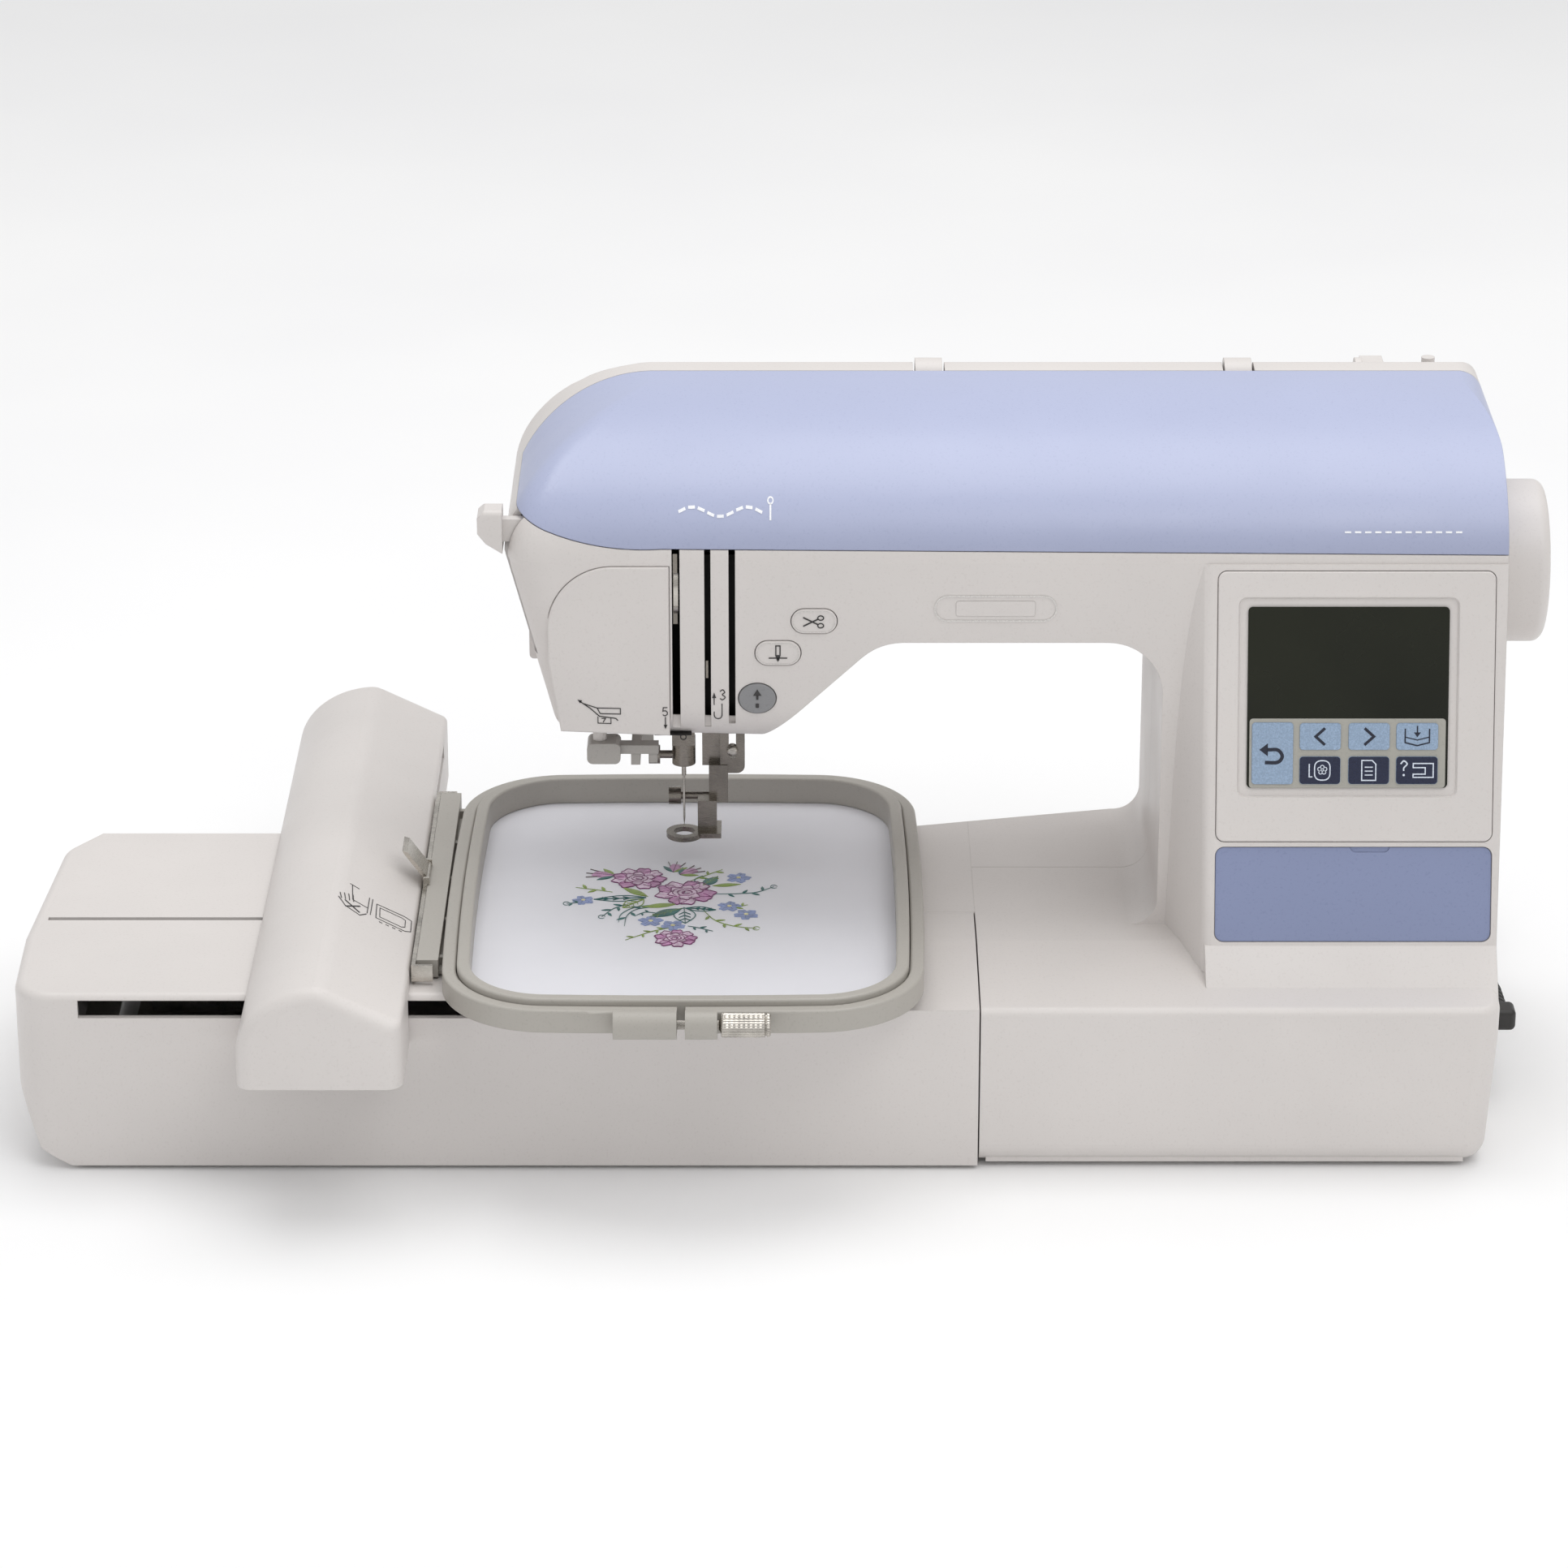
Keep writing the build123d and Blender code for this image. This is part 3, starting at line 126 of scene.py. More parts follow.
class Nodes:
    """Short forms for building one node material."""

    def __init__(self, name):
        self.material = bpy.data.materials.new(name)
        self.material.use_nodes = True
        self.tree = self.material.node_tree
        self.shader = self.tree.nodes["Principled BSDF"]
        self.place = self.tree.nodes.new("ShaderNodeTexCoord").outputs["Object"]

    def link(self, start, end):
        self.tree.links.new(start, end)

    def noise(self, scale, detail=3.0, stretch=None):
        vector = self.place
        if stretch:
            mapping = self.tree.nodes.new("ShaderNodeMapping")
            mapping.inputs["Scale"].default_value = stretch
            self.link(self.place, mapping.inputs["Vector"])
            vector = mapping.outputs["Vector"]
        noise = self.tree.nodes.new("ShaderNodeTexNoise")
        noise.inputs["Scale"].default_value = scale
        noise.inputs["Detail"].default_value = detail
        self.link(vector, noise.inputs["Vector"])
        return noise.outputs["Fac"]

    def wave(self, scale, direction="X", distortion=0.0):
        wave = self.tree.nodes.new("ShaderNodeTexWave")
        wave.wave_type = "BANDS"
        wave.bands_direction = direction
        wave.inputs["Scale"].default_value = scale
        wave.inputs["Distortion"].default_value = distortion
        wave.inputs["Detail"].default_value = 1.0
        self.link(self.place, wave.inputs["Vector"])
        return wave.outputs["Fac"]

    def ramp(self, factor, *stops):
        ramp = self.tree.nodes.new("ShaderNodeValToRGB")
        elements = ramp.color_ramp.elements
        while len(elements) < len(stops):
            elements.new(0.5)
        for element, (position, colour) in zip(elements, stops):
            element.position = position
            element.color = colour if hasattr(colour, "__len__") else (colour, colour, colour, 1.0)
        self.link(factor, ramp.inputs["Fac"])
        return ramp.outputs["Color"]

    def mix(self, factor, first, second, blend="MIX"):
        mix = self.tree.nodes.new("ShaderNodeMix")
        mix.data_type = "RGBA"
        mix.blend_type = blend
        for key, value in (("Factor", factor), ("A", first), ("B", second)):
            socket = mix.inputs[key]
            if hasattr(value, "is_linked"):
                self.link(value, socket)
            else:
                socket.default_value = value
        return mix.outputs["Result"]

    def maths(self, kind, first, second):
        maths = self.tree.nodes.new("ShaderNodeMath")
        maths.operation = kind
        for socket, value in zip(maths.inputs, (first, second)):
            if hasattr(value, "is_linked"):
                self.link(value, socket)
            else:
                socket.default_value = value
        return maths.outputs[0]

    def bump(self, height, distance, strength=1.0, rounded=0.0):
        bump = self.tree.nodes.new("ShaderNodeBump")
        bump.inputs["Distance"].default_value = distance * MM
        bump.inputs["Strength"].default_value = strength
        self.link(height, bump.inputs["Height"])
        if rounded:
            bevel = self.tree.nodes.new("ShaderNodeBevel")
            bevel.samples = 4
            bevel.inputs["Radius"].default_value = rounded * MM
            self.link(bevel.outputs["Normal"], bump.inputs["Normal"])
        self.link(bump.outputs["Normal"], self.shader.inputs["Normal"])


def plastic(name, colour, rough=0.38, grain=0.012, grain_scale=2600, rounded=0.45, shade=0.93, painted_shade_heights=None):
    """Moulded plastic: spark-eroded grain, faint flow marks, finger-worn gloss and a trace of dust.

    The optional last argument is two heights in metres: the colour is painted darker towards the lower one as
    painted shade and reaches full tone at the upper one, in place of the lighter reflection high on the
    surface."""
    n = Nodes(name)
    cloud = n.noise(9, 4)
    colour_mix = n.ramp(cloud, (0.3, scaled(colour, shade)), (0.72, colour))
    # painted shade by height: the colour is multiplied darker towards the lower height and reaches full
    # colour at the upper, standing in for the light reflected on the upper slope
    if painted_shade_heights:
        split = n.tree.nodes.new("ShaderNodeSeparateXYZ")
        n.link(n.place, split.inputs["Vector"])
        height = n.maths("DIVIDE", n.maths("SUBTRACT", split.outputs["Z"], painted_shade_heights[0]), painted_shade_heights[1] - painted_shade_heights[0])
        colour_mix = n.mix(1.0, colour_mix, n.ramp(height, (0.0, 0.84), (0.45, 0.95), (1.0, 1.0)), "MULTIPLY")
    fleck = n.ramp(n.noise(900, 2), (0.30, scaled(colour, 0.90)), (0.42, (1, 1, 1, 1)))
    n.link(n.mix(0.12, colour_mix, fleck, "MULTIPLY"), n.shader.inputs["Base Color"])
    n.link(n.ramp(n.noise(26, 5), (0.25, rough - 0.06), (0.75, rough + 0.09)), n.shader.inputs["Roughness"])
    n.bump(n.noise(grain_scale, 2), grain, 0.55, rounded)
    return n.material


def metal(name, colour, rough=0.28, stretch=(1, 1, 24), rounded=0.2):
    """Plated or ground steel: fine lines one way, darker handling marks and small pits."""
    n = Nodes(name)
    lines = n.noise(420, 3, stretch)
    marks = n.noise(60, 5)
    base = n.ramp(marks, (0.28, scaled(colour, 0.62)), (0.55, colour), (0.8, scaled(colour, 1.12)))
    n.link(n.mix(0.25, base, n.ramp(lines, (0.35, 0.55), (0.65, 1.0)), "MULTIPLY"),
           n.shader.inputs["Base Color"])
    n.shader.inputs["Metallic"].default_value = 1.0
    n.link(n.ramp(lines, (0.3, rough - 0.07), (0.7, rough + 0.12)), n.shader.inputs["Roughness"])
    n.bump(lines, 0.01, 0.4, rounded)
    return n.material


def rubber(name, colour, rough=0.6):
    n = Nodes(name)
    n.link(n.ramp(n.noise(140, 4), (0.3, scaled(colour, 0.75)), (0.7, scaled(colour, 1.25))),
           n.shader.inputs["Base Color"])
    n.link(n.ramp(n.noise(60, 4), (0.3, rough - 0.1), (0.7, rough + 0.15)), n.shader.inputs["Roughness"])
    n.bump(n.noise(1800, 2), 0.03, 0.5)
    return n.material


def ink(name, colour, rough=0.5):
    """Pad-printed ink, a little broken at its edges and over the grain under it."""
    n = Nodes(name)
    n.link(n.ramp(n.noise(1500, 2), (0.3, scaled(colour, 1.3)), (0.6, colour)), n.shader.inputs["Base Color"])
    n.link(n.ramp(n.noise(700, 2), (0.3, rough - 0.08), (0.7, rough + 0.1)), n.shader.inputs["Roughness"])
    n.bump(n.noise(2400, 2), 0.01, 0.4)
    return n.material


def thread(name, colour, direction="DIAGONAL", scale=900):
    """Satin-stitched embroidery thread: parallel strands with a soft sheen."""
    n = Nodes(name)
    strands = n.wave(scale, direction, 0.6)
    tone = n.ramp(n.noise(260, 3), (0.3, scaled(colour, 0.72)), (0.7, scaled(colour, 1.2)))
    n.link(n.mix(0.45, tone, n.ramp(strands, (0.1, 0.45), (0.6, 1.0)), "MULTIPLY"),
           n.shader.inputs["Base Color"])
    n.shader.inputs["Roughness"].default_value = 0.42
    n.shader.inputs["Sheen Weight"].default_value = 0.5
    n.shader.inputs["Sheen Roughness"].default_value = 0.4
    n.bump(strands, 0.12, 0.8)
    return n.material


def cotton(name, colour):
    """Plain-woven cotton: crossing yarns about a third of a millimetre apart, with slubs."""
    n = Nodes(name)
    warp, weft = n.wave(950, "X", 0.25), n.wave(950, "Y", 0.25)
    weave = n.maths("MAXIMUM", n.maths("MULTIPLY", warp, 0.9), weft)
    slub = n.noise(160, 4, (1, 5, 1))
    tone = n.ramp(n.noise(14, 3), (0.3, scaled(colour, 0.955)), (0.7, colour))
    n.link(n.mix(0.3, tone, n.ramp(weave, (0.15, 0.74), (0.7, 1.0)), "MULTIPLY"),
           n.shader.inputs["Base Color"])
    n.link(n.ramp(slub, (0.3, 0.82), (0.7, 0.95)), n.shader.inputs["Roughness"])
    n.shader.inputs["Sheen Weight"].default_value = 0.25
    n.bump(n.maths("ADD", weave, n.maths("MULTIPLY", slub, 0.6)), 0.07, 0.6)
    return n.material


def display(name):
    """Dark olive liquid-crystal panel behind a clear window, with a faint cell grid."""
    n = Nodes(name)
    grid = n.maths("MAXIMUM", n.wave(1100, "X"), n.wave(1100, "Z"))
    glow = n.ramp(n.noise(16, 2), (0.3, srgb(22, 24, 16)), (0.7, srgb(32, 34, 23)))
    n.link(n.mix(0.2, glow, n.ramp(grid, (0.4, 0.8), (0.9, 1.0)), "MULTIPLY"), n.shader.inputs["Base Color"])
    n.link(n.ramp(n.noise(40, 3), (0.3, 0.2), (0.7, 0.32)), n.shader.inputs["Roughness"])
    n.shader.inputs["Specular IOR Level"].default_value = 0.3
    n.bump(grid, 0.008, 0.3)
    return n.material


def circuit(name):
    n = Nodes(name)
    tracks = n.maths("MAXIMUM", n.wave(120, "X", 2.0), n.wave(90, "Z", 2.0))
    n.link(n.ramp(tracks, (0.55, srgb(18, 92, 48)), (0.75, srgb(44, 132, 74))), n.shader.inputs["Base Color"])
    n.link(n.ramp(n.noise(80, 3), (0.3, 0.3), (0.7, 0.5)), n.shader.inputs["Roughness"])
    n.bump(tracks, 0.05, 0.5)
    return n.material


WHITE = plastic("white_shell", srgb(219, 214, 211), 0.40)
# the blue cover carries painted shade: its colour is darker towards 0.252 m and reaches full tone at 0.301 m,
# a painted highlight over its upper slope
BLUE = plastic("blue_cover", srgb(178, 185, 214), 0.33, 0.008, 3000, 0.5, 0.96, (0.252, 0.301))
INSERT = plastic("blue_insert", srgb(138, 148, 182), 0.42)
GREIGE = plastic("grey_hoop", srgb(176, 172, 165), 0.42, 0.016)
LIGHT_GREY = plastic("light_grey", srgb(205, 202, 198), 0.4)
THREADER_GREY = plastic("threader_grey", srgb(172, 168, 163), 0.4)
KEY_FIELD = plastic("key_field", srgb(172, 170, 162), 0.35, 0.006)
BUTTON_GREY = plastic("button_grey", srgb(140, 140, 142), 0.33)
DARK = plastic("dark_plastic", srgb(34, 32, 31), 0.5)
SLOT_DARK = plastic("slot_dark", srgb(24, 20, 18), 0.6)
PLUG_DARK = plastic("plug_dark", srgb(46, 44, 43), 0.45, 0.02)
CLEAR = plastic("bobbin_clear", srgb(208, 214, 218), 0.15, 0.004)
NICKEL = metal("nickel", srgb(208, 203, 195), 0.22)
DARK_NICKEL = metal("dark_nickel", srgb(148, 142, 134), 0.24)
STEEL = metal("ground_steel", srgb(190, 190, 188), 0.3, (24, 1, 1))
CAST = metal("cast_aluminium", srgb(176, 177, 178), 0.45, (1, 1, 1))
BRONZE = metal("bronze", srgb(186, 146, 84), 0.35)
BELT = rubber("belt_rubber", srgb(30, 30, 30))
FOOT = rubber("foot_rubber", srgb(66, 64, 62), 0.7)
CORD = rubber("cord_rubber", srgb(40, 38, 37), 0.5)
CLOTH = cotton("cotton_cloth", srgb(232, 232, 238))
LCD = display("lcd_panel")
BOARD = circuit("circuit_board_green")
INK = ink("black_ink", srgb(52, 50, 50))
WHITE_INK = ink("white_ink", srgb(236, 238, 244))
PALE_LINE = ink("pale_outline", srgb(206, 203, 200))
KEY_BLUE = ink("key_light_blue", srgb(140, 160, 184), 0.3)
KEY_NAVY = ink("key_navy", srgb(30, 36, 60), 0.3)
KEY_INK = ink("key_ink", srgb(28, 32, 48))
KEY_WHITE = ink("key_white", srgb(206, 214, 226))

NODE_MATERIAL = dict(
    front_shell=WHITE, rear_shell=WHITE, top_cover=BLUE, base_plate=WHITE, free_arm_shell=WHITE,
    needle_plate=STEEL, bobbin_cover=CLEAR, face_cover=WHITE, thread_channel=SLOT_DARK,
    panel_bezel=WHITE, display_window=LCD, touch_keys=KEY_BLUE, accent_insert=INSERT,
    inner_frame=CAST, shaft_bushes=BRONZE, main_motor=STEEL, belts=BELT, circuit_board=BOARD,
    cord_inlet=DARK, rubber_feet=FOOT, case_screws=STEEL, thread_cutter=WHITE, handwheel=WHITE,
    upper_shaft=STEEL, lower_shaft=STEEL, rotary_hook=STEEL, bobbin_case=DARK, bobbin=CLEAR,
    motor_pulley=STEEL, needle_bar=NICKEL, needle=NICKEL, needle_clamp=DARK_NICKEL, take_up_lever=NICKEL,
    presser_bar=NICKEL, embroidery_foot=DARK_NICKEL, presser_lever=LIGHT_GREY, threader_lever=WHITE,
    threader_head=THREADER_GREY, scissors_button=WHITE, needle_button=WHITE, start_button=BUTTON_GREY,
    carry_handle=WHITE, thread_stand=WHITE, bobbin_winder=WHITE, power_switch=DARK, unit_case=WHITE,
    unit_base=WHITE, guide_rail=STEEL, carriage_base=CAST, carriage_cover=WHITE, hoop_holder=NICKEL,
    frame_lever=NICKEL, outer_hoop=GREIGE, inner_hoop=GREIGE, fabric=CLOTH, hoop_screw=NICKEL,
    power_cord=CORD, cord_coil=CORD, appliance_plug=PLUG_DARK, mains_plug=PLUG_DARK)
for node_name, material in NODE_MATERIAL.items():
    slots = nodes[node_name].material_slots
    for slot in slots:
        slot.material = material
    if not slots:
        nodes[node_name].data.materials.append(material)

lead.data.materials.append(CORD)


# ---------------------------------------------------------------- mesh helpers
def piece(name, mesh_data, material, body, slot_name=None, smooth=False):
    """A new object from a mesh, with its material, riding on a CAD body."""
    made = bpy.data.objects.new(name, mesh_data)
    bpy.context.scene.collection.objects.link(made)
    made.data.materials.append(material)
    if smooth:
        for polygon in made.data.polygons:
            polygon.use_smooth = True
    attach(made, body)
    return made


def mesh_of(name, vertices, faces):
    data = bpy.data.meshes.new(name)
    data.from_pydata(vertices, [], faces)
    data.update()
    return data


def surface_of(*node_names):
    """A ray-casting tree for each CAD node."""
    trees = []
    for node_name in node_names:
        data = nodes[node_name].data
        trees.append(BVHTree.FromPolygons(
            [v.co.copy() for v in data.vertices], [tuple(p.vertices) for p in data.polygons]))
    return trees


class Sheet:
    """Maps flat (u, v) millimetres onto the surface of CAD nodes, by casting along one direction."""

    def __init__(self, origin, u_dir, v_dir, node_names, lift=0.12):
        self.origin = Vector(origin) * MM
        self.u = Vector(u_dir).normalized()
        self.v = Vector(v_dir).normalized()
        self.out = self.u.cross(self.v).normalized()
        self.trees = surface_of(*node_names)
        self.lift = lift * MM

    def __call__(self, u, v, extra=0.0):
        start = self.origin + self.u * (u * MM) + self.v * (v * MM) + self.out * 0.06
        best = None
        for tree in self.trees:
            hit, _, _, distance = tree.ray_cast(start, -self.out, 0.16)
            if hit is not None and (best is None or distance < best[0]):
                best = (distance, hit)
        base = best[1] if best else start - self.out * 0.06
        return base + self.out * (self.lift + extra * MM)


def polar(mid, distance, angle, squeeze=1.0):
    """The point so far from mid at an angle, with the second axis squeezed."""
    return (mid[0] + distance * math.cos(angle), mid[1] + distance * squeeze * math.sin(angle))


class Drawing:
    """Collects flat strokes and filled shapes, then makes one thin closed piece of them."""

    def __init__(self, sheet, thick=0.1):
        self.sheet, self.thick = sheet, thick
        self.outlines = []

    def stroke(self, points, width, closed=False):
        """A ribbon along a line of points, mitred at its corners."""
        points = [Vector(p) for p in points]
        count = len(points)
        left, right = [], []
        for i, point in enumerate(points):
            before = points[(i - 1) % count] if closed or i else None
            after = points[(i + 1) % count] if closed or i < count - 1 else None
            way_in = (point - before).normalized() if before is not None else None
            way_out = (after - point).normalized() if after is not None else None
            way_in = way_in if way_in is not None else way_out
            way_out = way_out if way_out is not None else way_in
            mean = way_in + way_out
            mean = mean.normalized() if mean.length > 1e-6 else way_out
            side = Vector((-mean.y, mean.x))
            reach = width / 2 / max(0.5, side.dot(Vector((-way_out.y, way_out.x))))
            left.append(point + side * reach)
            right.append(point - side * reach)
        spans = count if closed else count - 1
        for i in range(spans):
            j = (i + 1) % count
            self.outlines.append([left[i], left[j], right[j], right[i]])
        return self

    def fill(self, points):
        self.outlines.append([Vector(p) for p in points])
        return self

    def ring(self, mid, radius, width, start=0, stop=360, step=15, squeeze=1.0):
        count = max(1, round(abs(stop - start) / step))
        angles = [math.radians(start + (stop - start) * i / count) for i in range(count + 1)]
        points = [polar(mid, radius, a, squeeze) for a in angles]
        closed = abs(stop - start) >= 360
        return self.stroke(points[:-1] if closed else points, width, closed)

    def disc(self, mid, radius, squeeze=1.0, sides=24):
        return self.fill([polar(mid, radius, 2 * math.pi * i / sides, squeeze) for i in range(sides)])

    def slab(self, mid, wide, high, corner, steps=5):
        return self.fill(rounded_points(mid, wide, high, corner, steps))

    def make(self, name, material, body, slot_name=None):
        """One mesh: each outline becomes a thin closed prism that lies on the surface."""
        build = bmesh.new()
        for outline in self.outlines:
            area = sum(a.x * b.y - b.x * a.y for a, b in zip(outline, outline[1:] + outline[:1]))
            if area < 0:
                outline = outline[::-1]
            low = [build.verts.new(self.sheet(p.x, p.y)) for p in outline]
            high = [build.verts.new(self.sheet(p.x, p.y, self.thick)) for p in outline]
            build.faces.new(high)
            build.faces.new(low[::-1])
            for i in range(len(outline)):
                j = (i + 1) % len(outline)
                build.faces.new((low[i], low[j], high[j], high[i]))
        bmesh.ops.triangulate(build, faces=[f for f in build.faces if len(f.verts) > 4])
        data = bpy.data.meshes.new(name)
        build.to_mesh(data)
        build.free()
        return piece(name, data, material, body, slot_name)


def rounded_points(mid, wide, high, corner, steps=6):
    """Outline of a rounded rectangle."""
    points = []
    for quadrant, (sx, sy) in enumerate(((1, 1), (-1, 1), (-1, -1), (1, -1))):
        for i in range(steps + 1):
            angle = math.radians(90 * quadrant + 90 * i / steps)
            points.append((mid[0] + sx * (wide / 2 - corner) + corner * math.cos(angle),
                           mid[1] + sy * (high / 2 - corner) + corner * math.sin(angle)))
    return points


def dense(points, step=2.0):
    """The same line with extra points, so that it follows a curved surface."""
    out = []
    for a, b in zip(points, points[1:]):
        a, b = Vector(a), Vector(b)
        count = max(1, math.ceil((b - a).length / step))
        out += [a + (b - a) * i / count for i in range(count)]
    return out + [Vector(points[-1])]


def curve_line(points, bends=8):
    """A smooth line through given points."""
    points = [Vector(p) for p in points]
    padded = [points[0] * 2 - points[1]] + points + [points[-1] * 2 - points[-2]]
    out = []
    for p0, p1, p2, p3 in zip(padded, padded[1:], padded[2:], padded[3:]):
        for i in range(bends):
            t = i / bends
            out.append(0.5 * ((2 * p1) + (p2 - p0) * t + (2 * p0 - 5 * p1 + 4 * p2 - p3) * t**2
                              + (3 * p1 - p0 - 3 * p2 + p3) * t**3))
    return out + [points[-1]]


def lathe(name, profile, axis, mid, material, body, slot_name=None, sides=48, depth=0.0, smooth=True):
    """A turned piece: (along, radius) pairs in mm swept about an axis, with optional ridges of a depth."""
    frames = {"X": (Vector((1, 0, 0)), Vector((0, 1, 0)), Vector((0, 0, 1))),
              "Y": (Vector((0, 1, 0)), Vector((0, 0, 1)), Vector((1, 0, 0))),
              "Z": (Vector((0, 0, 1)), Vector((1, 0, 0)), Vector((0, 1, 0)))}
    along, first, second = frames[axis]
    vertices, faces = [], []
    for distance, radius in profile:
        for i in range(sides):
            angle = 2 * math.pi * i / sides
            r = radius - (depth if i % 2 else 0.0) * (radius > 1)
            vertices.append((Vector(mid) + along * distance + first * (r * math.cos(angle))
                             + second * (r * math.sin(angle))) * MM)
    for k in range(len(profile) - 1):
        for i in range(sides):
            j = (i + 1) % sides
            faces.append((k * sides + i, k * sides + j, (k + 1) * sides + j, (k + 1) * sides + i))
    faces.append(tuple(range(sides))[::-1])
    faces.append(tuple(range((len(profile) - 1) * sides, len(profile) * sides)))
    return piece(name, mesh_of(name, vertices, faces), material, body, slot_name, smooth)


def box_mesh(name, x0, x1, y0, y1, z0, z1):
    """A thin plate between two corners, in millimetres."""
    corners = [(x, y, z) for z in (z0, z1) for x, y in ((x0, y0), (x1, y0), (x1, y1), (x0, y1))]
    return mesh_of(name, [Vector(c) * MM for c in corners],
                   [(0, 1, 5, 4), (1, 2, 6, 5), (2, 3, 7, 6), (3, 0, 4, 7), (3, 2, 1, 0), (4, 5, 6, 7)])


# ---------------------------------------------------------------- mains lead pieces
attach(lead, "machine")
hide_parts("power_cord", "cord_coil")
for band in (0, 1):
    angle = math.radians(205 + 130 * band)
    mid_r = (COIL_OUTER + COIL_INNER) / 2
    mid = Vector((COIL_MID[0] + mid_r * math.cos(angle), COIL_MID[1] + mid_r * math.sin(angle), 7.4))
    radial, up = Vector((math.cos(angle), math.sin(angle), 0)), Vector((0, 0, 1))
    along = Vector((-math.sin(angle), math.cos(angle), 0))
    loop = rounded_points((0, 0), 32.4, 14.4, 4.5, 5)
    vertices, faces, count = [], [], len(loop)
    for thick, side in ((0, -3), (0, 3), (0.7, 3), (0.7, -3)):
        for u, v in loop:
            grow = 1 + thick / 16
            vertices.append((mid + radial * (u * grow) + up * (v * grow) + along * side) * MM)
    for k in range(4):
        for i in range(count):
            j = (i + 1) % count
            faces.append((k * count + i, k * count + j, (k + 1) % 4 * count + j, (k + 1) % 4 * count + i))
    piece(f"lead_tie_{band}", mesh_of("lead_tie", vertices, faces), BELT, "machine", "cord_rubber")

# ribs on the appliance plug's strain relief
for rib in range(5):
    along, radius = -40.6 + rib * 4.4, 4.85 - rib * 0.1
    rib_profile = [(0, radius - 0.6), (0.3, radius + 0.3), (1.7, radius + 0.2), (2.0, radius - 0.7)]
    lathe(f"plug_rib_{rib}", rib_profile, "Y",
          (315.5, along, 35.5), PLUG_DARK, "machine", "dark_plastic")


# ---------------------------------------------------------------- head: printed marks
head = Sheet((0, -53, 0), (1, 0, 0), (0, 0, 1), ("front_shell", "face_cover"))
cover = Sheet((0, -60, 0), (1, 0, 0), (0, 0, 1), ("top_cover",))

marks = Drawing(head)
# thread path mark between the slots: a figure three over a hooked arrow
three = curve_line([(-27.6, 191.6), (-26.4, 192.4), (-25.5, 191.2), (-26.6, 190.2), (-25.3, 189.0),
                    (-26.4, 187.8), (-27.6, 188.4)], 5)
marks.stroke(three, 0.4)
marks.stroke([(-30.1, 189.5), (-30.1, 180.5)] + [
    (-28.4 - 1.7 * math.cos(a), 180.5 - 1.9 * math.sin(a)) for a in (0.5, 1.0, 1.57, 2.1, 2.6)] + [
    (-26.7, 180.5), (-26.7, 186.0)], 0.45)
marks.fill([(-31.0, 188.6), (-29.2, 188.6), (-30.1, 191.2)])
# figure five over a down arrow, left of the needle slot
marks.stroke([(-50.2, 184.6), (-52.0, 184.6), (-52.2, 182.9)] + [
    (-51.3 + 1.1 * math.cos(a), 182.0 + 1.2 * math.sin(a))
    for a in (2.0, 1.2, 0.4, -0.4, -1.2, -2.0, -2.6)], 0.4)
marks.stroke([(-51.1, 180.2), (-51.1, 175.8)], 0.45)
marks.fill([(-51.9, 176.6), (-50.3, 176.6), (-51.1, 174.6)])
# threader diagram with a figure seven
marks.stroke([(-86.5, 186.5), (-80.5, 184.4), (-70.5, 184.2), (-70.5, 181.6), (-79.2, 181.8),
              (-80.5, 184.4)], 0.4)
marks.stroke([(-88.0, 187.6), (-83.5, 184.3), (-79.5, 180.6), (-72.5, 179.6), (-71.6, 178.6)], 0.45)
marks.fill([(-88.9, 188.3), (-86.9, 187.9), (-87.8, 186.6)])
marks.stroke([(-80.2, 180.5), (-80.2, 177.4), (-74.6, 177.2), (-74.6, 180.0)], 0.35)
marks.stroke([(-78.7, 179.6), (-76.9, 179.6), (-78.0, 177.8)], 0.35)
marks.make("head_marks", INK, "machine")
button_sheet = Sheet((0, -53, 0), (1, 0, 0), (0, 0, 1),
                     ("scissors_button", "needle_button", "start_button"))
for body_name, mid, wide, high in (
        ("scissors_button", (12.9, 224.0), 19.5, 11.0), ("needle_button", (-2.6, 209.4), 19.5, 11.0)):
    rim = Drawing(button_sheet, 0.12)
    rim.stroke(rounded_points(mid, wide - 1.6, high - 1.6, (high - 1.6) / 2 - 0.01, 8), 0.3, True)
    rim.make(f"{body_name}_rim", PALE_LINE, body_name)
scissors_mark = Drawing(button_sheet, 0.12)
for flip in (1, -1):
    scissors_mark.ring((15.7, 224 + flip * 1.75), 1.25, 0.5, squeeze=0.8)
    scissors_mark.stroke([(14.5, 224 + flip * 1.2), (8.2, 224 - flip * 2.0)], 0.62)
scissors_mark.make("scissors_mark", INK, "scissors_button")
needle_mark = Drawing(button_sheet, 0.12)
needle_mark.stroke([(-3.5, 213.0), (-1.7, 213.0), (-1.7, 208.6), (-2.6, 206.0), (-3.5, 208.6)], 0.5, True)
needle_mark.stroke([(-2.6, 206.4), (-2.6, 208.8)], 1.2)
needle_mark.stroke([(-6.6, 207.4), (1.4, 207.4)], 0.5)
needle_mark.make("needle_mark", INK, "needle_button")
start_mark = Drawing(button_sheet, 0.12)
start_mark.stroke([(-11.5, 188.2), (-11.5, 190.2)], 1.0)
start_mark.fill([(-13.3, 190.0), (-9.7, 190.0), (-11.5, 192.9)])
start_mark.slab((-11.5, 185.4), 1.5, 2.0, 0.4)
start_mark.make("start_mark", INK, "start_button")

badge = Drawing(head, 0.25)
badge.stroke(rounded_points((90.6, 229.7), 52.0, 11.2, 5.59, 10), 0.7, True)
badge.make("badge_outline", PALE_LINE, "machine", "white_shell")
badge_fill = Drawing(head, 0.12)
badge_fill.slab((90.6, 229.7), 34.0, 7.0, 1.2)
badge_fill.make("badge_panel", WHITE, "machine", "white_shell")

